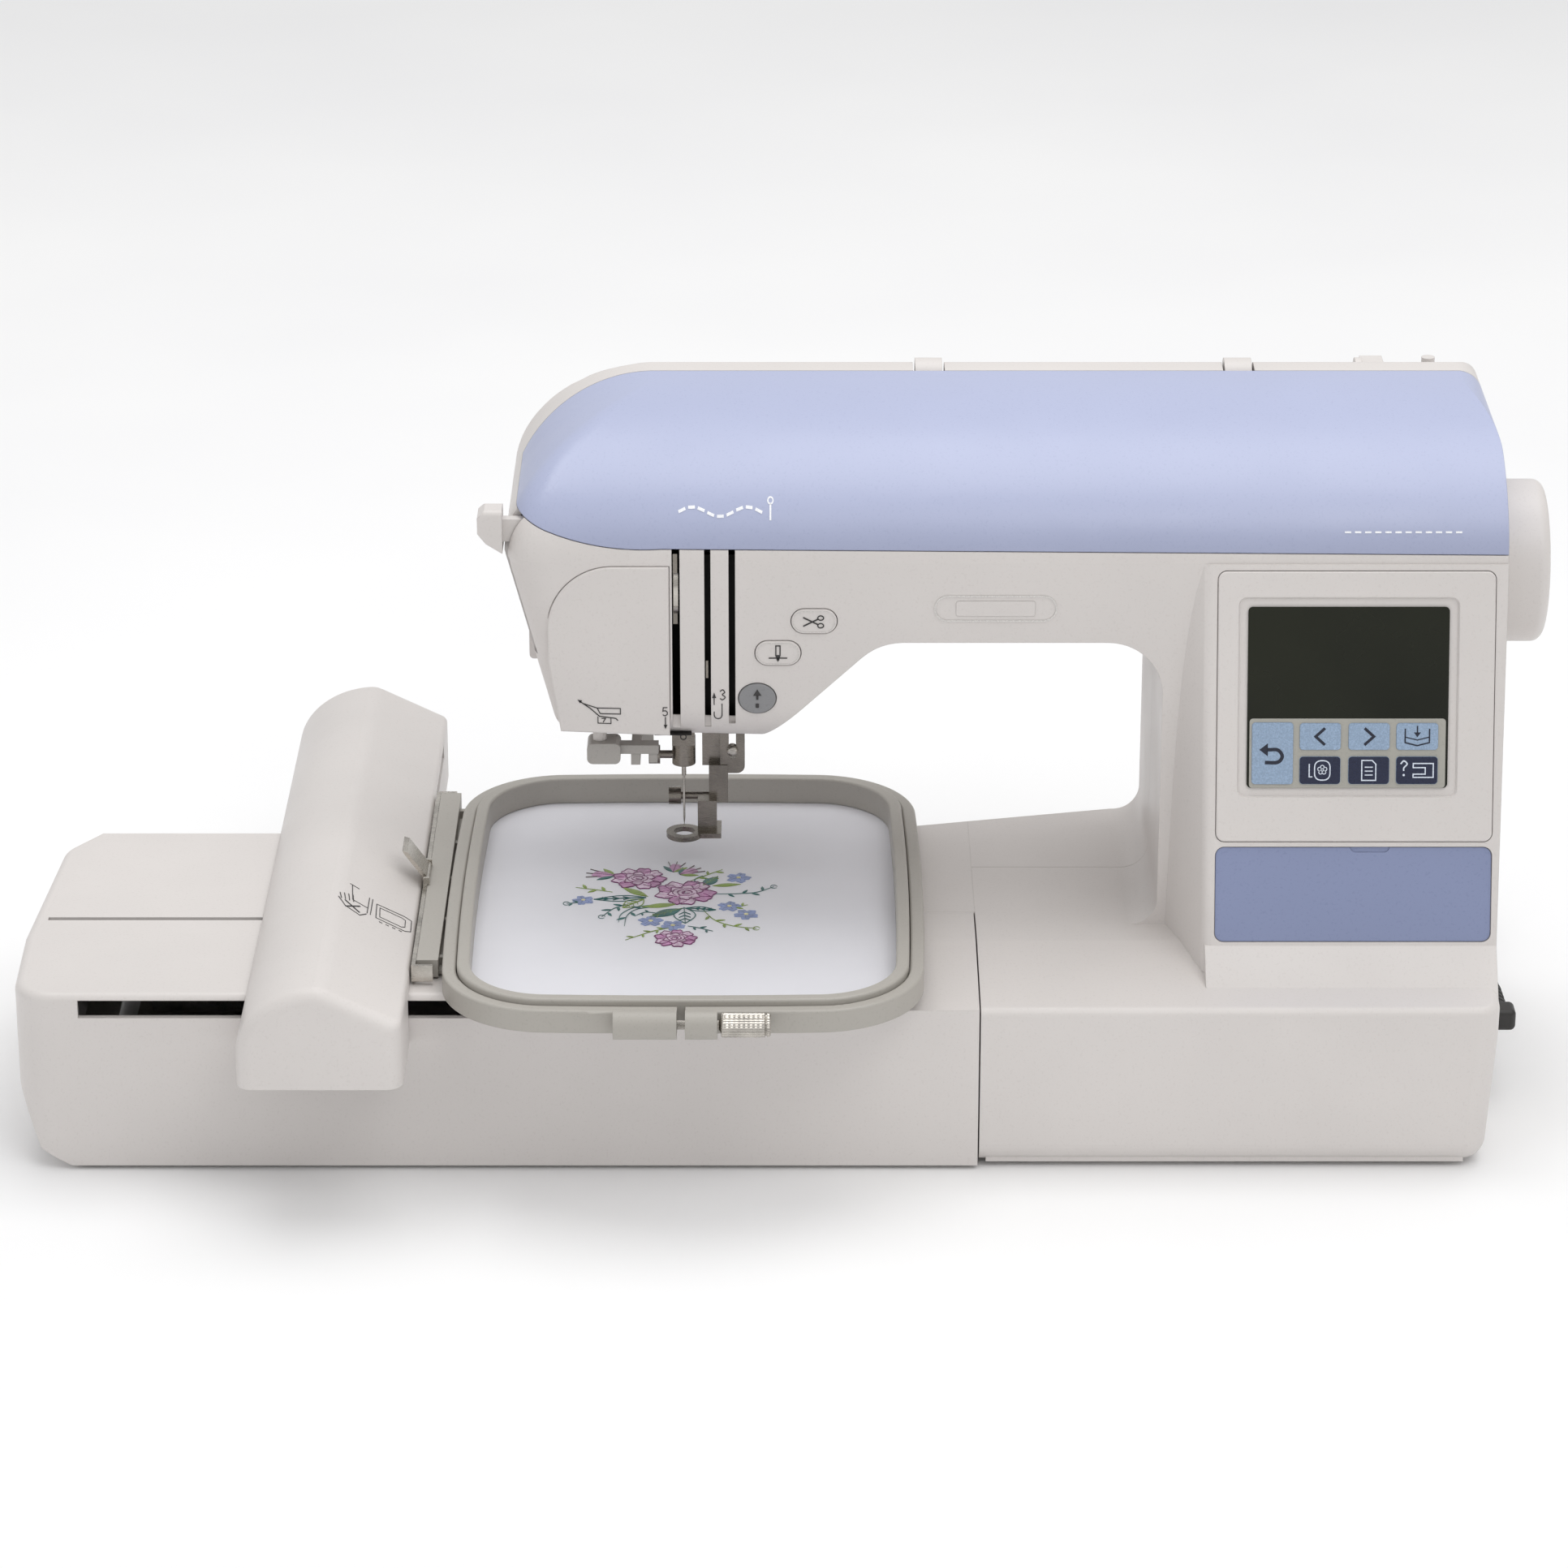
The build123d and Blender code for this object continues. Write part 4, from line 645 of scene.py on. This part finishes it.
# a plain stitched wave stands where the cover carries its mark
wave_mark = Drawing(cover, 0.12)
for k in range(9):
    start_u = -45 + k * 4.1
    wave_mark.stroke(dense([(start_u, 270.6 + 1.7 * math.sin(k * 1.1)),
                            (start_u + 2.9, 270.6 + 1.7 * math.sin((k + 0.7) * 1.1))], 1.0), 1.1)
wave_mark.stroke(dense([(-5.8, 273.4), (-5.8, 267.6)], 1.0), 0.8)
wave_mark.ring((-5.8, 274.4), 1.1, 0.55)
wave_mark.make("cover_mark", WHITE_INK, "machine")
small_mark = Drawing(cover, 0.12)
for k in range(12):
    small_mark.stroke(dense([(239 + k * 4.3, 263.2), (241.7 + k * 4.3, 263.2)], 1.0), 0.7)
small_mark.make("cover_small_mark", WHITE_INK, "machine")

# bright strips behind the left and middle thread slots
for strip_name, strip_box in (
        ("slot_strip", (-47.6, -45.6, -48.6, -47.6, 221, 253)),
        ("slot_guide", (-33.7, -32.6, -48.4, -47.4, 196, 204))):
    piece(strip_name, box_mesh(strip_name, *strip_box), DARK_NICKEL, "machine", "nickel")

# dark plates behind and under the left slot, so that no light comes through it
for plate_name, plate_box in (
        ("slot_backing", (-56, -40, -13.6, -13.2, 170, 262)),
        ("slot_floor", (-56, -40, -49.5, -13.4, 169.8, 170.2))):
    piece(plate_name, box_mesh(plate_name, *plate_box), SLOT_DARK, "machine", "dark_plastic")

# number six on the needle clamp's tag, and a screw head in the foot's slotted plate
tag = Sheet((0, -0.5, 0), (1, 0, 0), (0, 0, 1), ("needle_clamp",), 0.08)
six = Drawing(tag, 0.06)
six.ring((-44.5, 149.3), 1.25, 0.5, step=30)
six.stroke(curve_line([(-45.7, 149.6), (-45.3, 151.8), (-43.6, 152.9)], 4), 0.5)
six.make("clamp_figure", INK, "needle_bar")
lathe("foot_screw", [(-1.4, 1.2), (-1.3, 2.2), (-0.3, 2.4), (0.2, 2.0)], "Y", (-23, 13.6, 137), NICKEL,
      "presser_bar", "steel", 20)


# ---------------------------------------------------------------- touch panel
panel_foot, panel_head = (-96.0, 91.0), (-54.0, 250.0)
slope = Vector((0, panel_head[0] - panel_foot[0], panel_head[1] - panel_foot[1])).normalized()
panel = Sheet((244.5, panel_foot[0], panel_foot[1]), (1, 0, 0), slope,
              ("panel_bezel", "display_window", "touch_keys"))
key_field = Drawing(panel, 0.05)
key_field.slab((-3.3, 83.5), 84.0, 30.0, 1.5)
key_field.make("key_field", KEY_FIELD, "machine", "light_grey")

KEY_COLUMNS = ((-15.0, 17.6), (5.9, 17.6), (26.5, 17.9))
KEY_ROWS = ((90.8, 11.6), (76.2, 12.0))
light_keys, dark_keys = Drawing(panel, 0.22), Drawing(panel, 0.22)
light_keys.slab((-35.4, 83.5), 17.4, 26.4, 1.4)
for column, wide in KEY_COLUMNS:
    light_keys.slab((column, KEY_ROWS[0][0]), wide - 0.3, KEY_ROWS[0][1] - 0.3, 1.4)
    dark_keys.slab((column, KEY_ROWS[1][0]), wide - 0.3, KEY_ROWS[1][1] - 0.3, 1.4)
light_keys.make("light_keys", KEY_BLUE, "machine", "key_film")
dark_keys.make("dark_keys", KEY_NAVY, "machine", "key_film")

panel_top = Sheet((244.5, panel_foot[0], panel_foot[1]), (1, 0, 0), slope,
                  ("panel_bezel", "display_window", "touch_keys"), 0.36)
key_marks = Drawing(panel_top, 0.06)
key_marks.stroke(
    curve_line([(-38.6, 79.6), (-33.2, 79.7), (-31.2, 82.3), (-33.2, 85.0), (-37.6, 85.1)], 5), 1.5)
key_marks.fill([(-37.4, 87.9), (-37.4, 82.3), (-41.0, 85.1)])
for column, way in ((-15.0, -1), (5.9, 1)):
    key_marks.stroke(
        [(column - way * 2.0, 94.4), (column + way * 2.0, 90.8), (column - way * 2.0, 87.2)], 1.2)
pocket = 26.5
key_marks.stroke([(pocket - 5.2, 94.2), (pocket - 5.2, 88.2), (pocket, 86.9), (pocket + 5.2, 88.2),
                  (pocket + 5.2, 94.2)], 0.6)
key_marks.stroke([(pocket - 5.2, 90.6), (pocket, 89.3), (pocket + 5.2, 90.6)], 0.45)
key_marks.stroke([(pocket, 95.4), (pocket, 91.6)], 0.6)
key_marks.fill([(pocket - 1.5, 92.6), (pocket + 1.5, 92.6), (pocket, 90.5)])
key_marks.make("key_marks", KEY_INK, "machine", "key_film")
night_marks = Drawing(panel_top, 0.06)
hoop_x, page_x, help_x = (column for column, _ in KEY_COLUMNS)
night_marks.stroke(rounded_points((hoop_x + 1.0, 76.2), 6.6, 8.4, 2.6, 4), 0.5, True)
for petal_index in range(5):
    a = 2 * math.pi * petal_index / 5 + math.pi / 2
    night_marks.ring((hoop_x + 1.0 + 1.25 * math.cos(a), 76.4 + 1.25 * math.sin(a)), 0.8, 0.35, step=45)
night_marks.stroke([(hoop_x - 4.6, 79.0), (hoop_x - 4.6, 73.4), (hoop_x - 3.2, 73.4)], 0.5)
night_marks.stroke([(page_x - 3.0, 71.9), (page_x - 3.0, 80.5), (page_x + 1.4, 80.5),
                    (page_x + 3.0, 78.9), (page_x + 3.0, 71.9)], 0.5, True)
for row in range(3):
    night_marks.stroke([(page_x - 1.7, 77.6 - row * 1.7), (page_x + 1.7, 77.6 - row * 1.7)], 0.45)
night_marks.stroke(curve_line([(help_x - 7.0, 79.0), (help_x - 5.6, 80.3), (help_x - 4.2, 79.0),
                               (help_x - 5.6, 77.3), (help_x - 5.6, 76.0)], 5), 0.6)
night_marks.disc((help_x - 5.6, 74.2), 0.5)
night_marks.stroke([(help_x - 1.6, 73.2), (help_x + 7.0, 73.2), (help_x + 7.0, 79.2), (help_x - 1.6, 79.2),
                    (help_x - 1.6, 77.4), (help_x + 3.6, 77.4), (help_x + 3.6, 74.6),
                    (help_x - 1.6, 74.6)], 0.5, True)
night_marks.make("night_marks", KEY_WHITE, "machine", "key_film")


# ---------------------------------------------------------------- carriage and hoop
carriage_top = Sheet((-186.5, -17, 100), (1, 0, 0), (0, 1, 0), ("carriage_cover",))
diagram = Drawing(carriage_top, 0.1)
diagram.stroke(
    dense([(9.5, -49), (21.5, -49.5), (24.5, -51), (24.8, -62), (22.5, -64), (10.0, -63)]), 0.35, True)
diagram.stroke(
    dense([(11.0, -51.5), (20.5, -52), (22.0, -53), (22.2, -60), (20.8, -61.2), (11.5, -60.6)]), 0.3, True)
diagram.stroke(dense([(7.6, -46), (7.6, -62.5)]), 0.35)
diagram.stroke(dense([(6.2, -46), (6.2, -62.5)]), 0.35)
diagram.stroke(dense([(-1.5, -41), (-0.4, -55), (6.0, -57)]), 0.35)
diagram.stroke(dense([(-2.6, -40), (1.5, -41.5)]), 0.35)
for finger in range(4):
    diagram.stroke(dense([(-6.0 + finger * 1.8, -52.5 + finger * 0.8),
                          (-5.0 + finger * 1.7, -58.0 + finger * 0.4)]), 0.4)
diagram.stroke(dense([(-6.4, -57), (-3.0, -64), (3.4, -67.5), (6.0, -63.5)]), 0.4)
diagram.stroke(dense([(-3.4, -58.5), (3.2, -65.0)]), 0.75)
diagram.stroke(dense([(3.0, -58.5), (-2.8, -64.6)]), 0.75)
for dot in range(4):
    diagram.stroke([(11.5 + dot * 2.8, -65.6), (12.9 + dot * 2.8, -65.8)], 0.4)
diagram.make("carriage_diagram", INK, "carriage")


def hoop_outline(inset, steps=12):
    """Points of the hoop's bowed, rounded outline, in millimetres about its middle."""
    half_x, half_y, corner, bow = 104 - inset, 131 - inset, 46 - inset, 3.0
    points = []
    signs = ((1, 1), (-1, 1), (-1, -1), (1, -1))
    for quadrant, (sx, sy) in enumerate(signs):
        for i in range(steps + 1):
            a = math.radians(90 * quadrant + 90 * i / steps)
            points.append([sx * (half_x - corner) + corner * math.cos(a),
                           sy * (half_y - corner) + corner * math.sin(a)])
        side_start = points[-1]
        next_x, next_y = signs[(quadrant + 1) % 4]
        a = math.radians(90 * quadrant + 90)
        side_end = [next_x * (half_x - corner) + corner * math.cos(a),
                    next_y * (half_y - corner) + corner * math.sin(a)]
        for i in range(1, 20):
            points.append([side_start[0] + (side_end[0] - side_start[0]) * i / 20,
                           side_start[1] + (side_end[1] - side_start[1]) * i / 20])
    for p in points:
        p[0] -= math.copysign(bow * min(1.0, (p[1] / half_y) ** 2), p[0]) * (abs(p[0]) / half_x)
        p[1] -= math.copysign(bow * min(1.0, (p[0] / half_x) ** 2), p[1]) * (abs(p[1]) / half_y)
    return points


HOOP_MID = ((-147 + 61) / 2, (-168 + 94) / 2)


def cloth_mesh(name, inset):
    """The hooped cloth: rings from the clamped edge to the middle, taut with faint pull lines."""
    outline = hoop_outline(inset)
    count, rings = len(outline), 26
    vertices, faces = [], []
    for ring in range(rings):
        share = 1 - ring / rings
        for i, (x, y) in enumerate(outline):
            px, py = x * share, y * share
            pull = 0.10 * math.sin(i * 0.71 + 1.3 * math.sin(i * 0.13)) * max(0.0, share - 0.62) / 0.38
            sag = -0.12 * math.cos(px / 61) * math.cos(py / 82)
            height = 83.30 + (pull * 0.6 + sag if ring > 2 else 0.0)
            vertices.append(((HOOP_MID[0] + px) * MM, (HOOP_MID[1] + py) * MM, height * MM))
    for ring in range(rings - 1):
        for i in range(count):
            j = (i + 1) % count
            faces.append((ring * count + i, ring * count + j, (ring + 1) * count + j,
                          (ring + 1) * count + i))
    vertices.append((HOOP_MID[0] * MM, HOOP_MID[1] * MM, 83.18 * MM))
    last = (rings - 1) * count
    for i in range(count):
        faces.append((last + i, last + (i + 1) % count, len(vertices) - 1))
    return mesh_of(name, vertices, faces)


cloth = piece("hooped_cloth", cloth_mesh("hooped_cloth", 6.6), CLOTH, "inner_ring", "cloth", True)
solidify = cloth.modifiers.new("thickness", "SOLIDIFY")
solidify.thickness = 0.3 * MM
solidify.offset = -1
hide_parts("fabric")


# ---------------------------------------------------------------- embroidery
MAUVE_DARK = thread("thread_mauve_dark", srgb(122, 30, 104), "DIAGONAL")
MAUVE = thread("thread_mauve", srgb(214, 156, 202), "X")
MAUVE_PALE = thread("thread_mauve_pale", srgb(238, 210, 232), "DIAGONAL")
TEAL = thread("thread_teal", srgb(8, 104, 100), "X")
OLIVE = thread("thread_olive", srgb(134, 162, 44), "DIAGONAL")
SKY = thread("thread_blue", srgb(134, 154, 208), "Y")
SKY_DARK = thread("thread_blue_dark", srgb(58, 74, 142), "DIAGONAL")
CREAM = thread("thread_cream", srgb(236, 226, 170), "X")
BROWN = thread("thread_brown", srgb(98, 80, 76), "X")

stitches = {}


def stitched(material):
    return stitches.setdefault(material.name, (material, []))[1]


def stitch_patch(material, outline, rise=0.28):
    """A filled, slightly domed patch of satin stitch."""
    stitched(material).append(("patch", [Vector(p) for p in outline], rise))


def stitch_line(material, points, width, rise=0.22, taper=True):
    stitched(material).append(("line", [Vector(p) for p in points], width, rise, taper))


def petal(mid, length, wide, angle, ruffle=0.0, seed=0):
    """Outline of a petal growing from mid at an angle, with a wavy far edge."""
    points = []
    for i in range(18):
        a = 2 * math.pi * i / 18
        along = length / 2 * (1 - math.cos(a))
        side = wide / 2 * math.sin(a) * (0.75 + 0.25 * along / length)
        wavy = 1 + ruffle * math.sin(a * 5 + seed) * (along / length)
        points.append((mid[0] + (along * math.cos(angle) - side * math.sin(angle)) * wavy,
                       mid[1] + (along * math.sin(angle) + side * math.cos(angle)) * wavy))
    return points


def leaf(material, base, tip, wide, vein=None, outline_only=False):
    base, tip = Vector(base), Vector(tip)
    way = tip - base
    side = Vector((-way.y, way.x)).normalized()
    left = [base + way * t + side * (wide / 2 * math.sin(math.pi * t) * (1.15 - 0.3 * t)) for t in
            [i / 9 for i in range(10)]]
    right = [base + way * t - side * (wide / 2 * math.sin(math.pi * t) * (1.15 - 0.3 * t)) for t in
             [i / 9 for i in range(10)]]
    if outline_only:
        stitch_line(material, left, 0.55, taper=False)
        stitch_line(material, right, 0.55, taper=False)
    else:
        stitch_patch(material, left[:-1] + right[:0:-1])
    if vein is not None:
        stitch_line(vein, [base, tip], 0.5, 0.4)
        for t in (0.3, 0.5, 0.7):
            for flip in (1, -1):
                start_point = base + way * t
                rib_end = start_point + way * 0.14 + side * (flip * wide * 0.27)
                stitch_line(vein, [start_point, rib_end], 0.35, 0.4)


def rose(mid, size, seed):
    """An open rose: pale ruffled outer petals, mid-tone inner ones and dark folds in the heart."""
    dice = random.Random(seed)
    for k in range(9):
        a = 2 * math.pi * k / 9 + dice.uniform(-0.15, 0.15)
        stitch_patch(MAUVE_PALE if k % 2 else MAUVE,
                     petal((mid[0] + size * 0.18 * math.cos(a), mid[1] + size * 0.15 * math.sin(a)),
                           size * 0.82, size * 0.66, a, 0.07, k), 0.18 + 0.03 * (k % 2))
        rim = petal((mid[0] + size * 0.18 * math.cos(a), mid[1] + size * 0.15 * math.sin(a)),
                    size * 0.80, size * 0.64, a, 0.07, k)[4:15]
        stitch_line(MAUVE_DARK, rim, 0.62, 0.42)
        for spoke in (-0.3, 0.0, 0.3):
            stitch_line(
                MAUVE, [polar(mid, size * r, a + spoke, 0.9) for r in (0.55, 0.68, 0.8)], 0.45, 0.4)
    for k in range(6):
        a = 2 * math.pi * k / 6 + 0.4 + dice.uniform(-0.2, 0.2)
        stitch_patch(MAUVE_PALE,
                     petal((mid[0] + size * 0.05 * math.cos(a), mid[1] + size * 0.05 * math.sin(a)),
                           size * 0.56, size * 0.46, a, 0.06, k + 2), 0.34)
        stitch_line(MAUVE_DARK, petal(mid, size * 0.58, size * 0.46, a, 0.06, k + 2)[5:14], 0.95, 0.5)
    for k in range(7):
        radius = size * (0.10 + 0.055 * k)
        start_angle = k * 2.1 + seed
        arc = [polar(mid, radius, start_angle + i * 0.26, 0.85) for i in range(9)]
        stitch_line(MAUVE_DARK, arc, 1.5 - 0.1 * k, 0.55)


def bud(mid, size, angle):
    stitch_patch(MAUVE, petal(mid, size, size * 0.7, angle, 0.05, 1), 0.3)
    stitch_line(MAUVE_DARK, [mid, polar(mid, size * 0.8, angle)], 0.8, 0.45)
    for turn in (-0.75, 0.75):
        leaf(TEAL if turn > 0 else OLIVE, mid, polar(mid, size * 0.9, angle + turn), size * 0.28)
    for turn in (-0.35, 0.0, 0.35):
        stitch_line(
            BROWN, [polar(mid, size * 0.6, angle + turn), polar(mid, size * 1.25, angle + turn)], 0.4, 0.4)


def small_flower(mid, size, seed):
    for k in range(5):
        a = 2 * math.pi * k / 5 + seed
        stitch_patch(SKY, petal(mid, size, size * 0.85, a, 0.08, k), 0.24)
        stitch_line(SKY_DARK, [mid, polar(mid, size * 0.7, a)], 0.4, 0.36)
    stitch_patch(CREAM, [polar(mid, size * 0.2, 2 * math.pi * i / 10) for i in range(10)], 0.45)


def sprig(material, points, leaves, size, curl=True):
    line = curve_line(points, 6)
    stitch_line(material, line, 0.55)
    for k in range(leaves):
        at = line[int((k + 1) / (leaves + 1) * (len(line) - 1))]
        ahead = line[min(len(line) - 1, int((k + 1) / (leaves + 1) * (len(line) - 1)) + 2)]
        angle = math.atan2(ahead.y - at.y, ahead.x - at.x) + (0.9 if k % 2 else -0.9)
        leaf(material, at, (at.x + size * math.cos(angle), at.y + size * math.sin(angle)), size * 0.32)
    if curl:
        end = line[-1]
        stitch_line(material, [(end.x + 1.5 * math.cos(a), end.y + 1.9 * math.sin(a)) for a in
                               [i * 0.7 for i in range(9)]], 0.4)


# leaves and sprigs under the flowers
leaf(TEAL, (-36, -14), (-29.5, -3.5), 6.0, OLIVE)
leaf(TEAL, (-38, -12), (-36.5, -3.0), 5.0, None, True)
leaf(OLIVE, (-32, -14), (-19, -12.2), 3.4)
leaf(OLIVE, (-60, -26), (-72, -15.5), 4.2)
leaf(TEAL, (-61, -27), (-84, -29.0), 6.2, TEAL, True)
leaf(OLIVE, (-62, -29), (-71, -38), 8.0, OLIVE, True)
leaf(OLIVE, (-47, -34), (-63, -37.5), 4.4)
leaf(TEAL, (-45, -39), (-59, -48.5), 7.0, OLIVE)
leaf(TEAL, (-44, -38), (-43.2, -55), 9.5, TEAL, True)
leaf(TEAL, (-43, -38.5), (-30, -40.5), 4.8, TEAL, True)
sprig(TEAL, [(-58, -35), (-66, -38), (-71.5, -45), (-72.5, -54)], 0, 0, False)
sprig(TEAL, [(-56, -44), (-61, -43), (-65, -46.5)], 2, 3.0, False)
sprig(TEAL, [(-30, -23), (-20, -22.6), (-12, -21.0), (-4.5, -15)], 4, 4.6)
sprig(OLIVE, [(-76, -21), (-83, -18.5), (-92.5, -15.8)], 3, 5.0, False)
sprig(TEAL, [(-69, -34.5), (-75, -39), (-80, -48)], 4, 4.6)
sprig(TEAL, [(-57, -37), (-65, -40), (-69, -47), (-69.8, -58)], 3, 5.0, False)
sprig(OLIVE, [(-35, -42), (-30, -52), (-22, -58), (-12, -60.5)], 5, 4.4)
sprig(OLIVE, [(-50, -60), (-58, -64), (-69, -73)], 5, 3.6, False)
sprig(TEAL, [(-42, -58), (-37, -60), (-31, -63.5)], 3, 3.6, False)
sprig(OLIVE, [(-42, -9), (-34, -1.5), (-27.5, 4.2)], 3, 4.0, False)
sprig(TEAL, [(-88, -32), (-96, -33.5)], 2, 3.6)
sprig(OLIVE, [(-24, -39), (-16, -35)], 2, 3.8, False)
bud((-75.5, -2.6), 10.5, math.radians(168))
bud((-49.5, 1.5), 9.0, math.radians(82))
bud((-46.5, -1.5), 9.5, math.radians(38))
for flower, (flower_mid, flower_size) in enumerate((
        ((-20.3, -5.1), 5.6), ((-88.7, -29.9), 5.0), ((-24.1, -36.6), 5.4), ((-16.6, -45.4), 5.6),
        ((-58.4, -52.6), 5.6), ((-48.6, -57.4), 5.6))):
    small_flower(flower_mid, flower_size, flower * 0.7)
rose((-64.6, -6.2), 12.2, 3)
rose((-43.6, -21.8), 13.6, 8)
rose((-47.2, -71.4), 9.4, 5)


def make_stitches():
    """One mesh for each thread colour, lying on the cloth."""
    pieces = []
    for key, (material, shapes) in stitches.items():
        vertices, faces = [], []
        ground = 83.32
        for shape in shapes:
            base = len(vertices)
            if shape[0] == "patch":
                _, outline, rise = shape
                mid = sum(outline, Vector((0, 0))) / len(outline)
                rings = ((1.0, 0.0), (0.93, rise * 0.7), (0.5, rise), (0.12, rise * 1.08))
                for share, up in rings:
                    for p in outline:
                        q = mid + (p - mid) * share
                        vertices.append((q.x * MM, q.y * MM, (ground + up) * MM))
                n = len(outline)
                for r in range(len(rings) - 1):
                    for i in range(n):
                        j = (i + 1) % n
                        low, high = base + r * n, base + (r + 1) * n
                        faces.append((low + i, low + j, high + j, high + i))
                faces.append(tuple(base + (len(rings) - 1) * n + i for i in range(n)))
                faces.append(tuple(base + i for i in range(n))[::-1])
            else:
                _, line, width, rise, taper = shape
                n = len(line)
                for i, p in enumerate(line):
                    way = (line[min(n - 1, i + 1)] - line[max(0, i - 1)])
                    way = way.normalized() if way.length > 1e-6 else Vector((1, 0))
                    side = Vector((-way.y, way.x))
                    half = width / 2 * ((0.35 + 0.65 * math.sin(math.pi * (i + 0.5) / n)) if taper else 1.0)
                    section = ((-half, 0), (-half * 0.6, rise * 0.8), (half * 0.6, rise * 0.8), (half, 0))
                    for offset, up in section:
                        q = p + side * offset
                        vertices.append((q.x * MM, q.y * MM, (ground + up) * MM))
                for i in range(n - 1):
                    for k in range(4):
                        m = (k + 1) % 4
                        here, there = base + i * 4, base + (i + 1) * 4
                        faces.append((here + k, there + k, there + m, here + m))
                faces.append((base + 3, base + 2, base + 1, base))
                faces.append(tuple(base + (n - 1) * 4 + k for k in range(4)))
        name = "embroidery_" + key.split("_", 1)[1]
        data = mesh_of(name, vertices, faces)
        build = bmesh.new()
        build.from_mesh(data)
        bmesh.ops.recalc_face_normals(build, faces=build.faces)
        build.to_mesh(data)
        build.free()
        pieces.append(piece(name, data, material, "inner_ring", "cloth"))
    return pieces


embroidery = make_stitches()


# ---------------------------------------------------------------- hoop screw
knob_low, knob_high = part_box("hoop_screw")
knob_y, knob_z = (knob_low.y + knob_high.y) / 2 / MM, (knob_low.z + knob_high.z) / 2 / MM
knob_profile = [(-71, 0.4), (-71, 1.9), (-27.4, 1.98), (-27.2, 1.9), (-26.2, 3.4), (-26.2, 4.9),
                (-25.6, 5.28)]
for step in range(18):
    knob_profile.append((-25.2 + step, 5.28 if step % 2 else 5.06))
knob_profile += [(-8.0, 5.2), (-7.6, 4.4), (-7.2, 4.4), (-7.0, 5.0), (-6.0, 4.9), (-5.5, 4.2),
                 (-5.45, 0.5)]
screw = lathe("hoop_screw_knob", knob_profile, "X", (0, knob_y, knob_z), NICKEL, "hoop_screw", "nickel", 64,
              depth=0.22, smooth=False)
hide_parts("hoop_screw")


# ---------------------------------------------------------------- floor, lights, world
FLOOR_HALF, FLOOR_Z = 30, -0.0004
floor_mesh = mesh_of("floor", [(-FLOOR_HALF, -FLOOR_HALF, FLOOR_Z), (FLOOR_HALF, -FLOOR_HALF, FLOOR_Z),
                               (FLOOR_HALF, FLOOR_HALF, FLOOR_Z), (-FLOOR_HALF, FLOOR_HALF, FLOOR_Z)],
                     [(0, 1, 2, 3)])
floor = bpy.data.objects.new("floor", floor_mesh)
bpy.context.scene.collection.objects.link(floor)
floor_nodes = Nodes("floor_paper")
floor_tone = floor_nodes.ramp(
    floor_nodes.noise(2, 3), (0.3, srgb(244, 244, 245)), (0.7, srgb(250, 250, 250)))
floor_nodes.link(floor_tone, floor_nodes.shader.inputs["Base Color"])
floor_nodes.shader.inputs["Roughness"].default_value = 0.9
floor.data.materials.append(floor_nodes.material)


def area_light(name, place, target, size, power, colour=(1, 1, 1)):
    data = bpy.data.lights.new(name, "AREA")
    data.shape = "RECTANGLE"
    data.size, data.size_y = size
    data.energy = power
    data.color = colour
    lamp = bpy.data.objects.new(name, data)
    lamp.location = place
    lamp.rotation_euler = (Vector(target) - Vector(place)).to_track_quat("-Z", "Y").to_euler()
    bpy.context.scene.collection.objects.link(lamp)


area_light("key_light", (0.9, -1.2, 2.2), (0.0, 0.0, 0.12), (1.6, 1.2), 13, (1.0, 0.995, 0.985))
area_light("fill_light", (-1.6, -1.5, 1.1), (0.0, 0.0, 0.12), (1.4, 1.4), 2.5)
area_light("top_light", (0.1, 0.5, 2.3), (0.0, 0.0, 0.1), (2.2, 1.6), 24)

world = bpy.data.worlds.new("studio")
bpy.context.scene.world = world
world.use_nodes = True
background = world.node_tree.nodes["Background"]
background.inputs["Color"].default_value = (1.0, 1.0, 1.0, 1.0)
background.inputs["Strength"].default_value = 0.62
bpy.context.scene.view_settings.view_transform = "Standard"
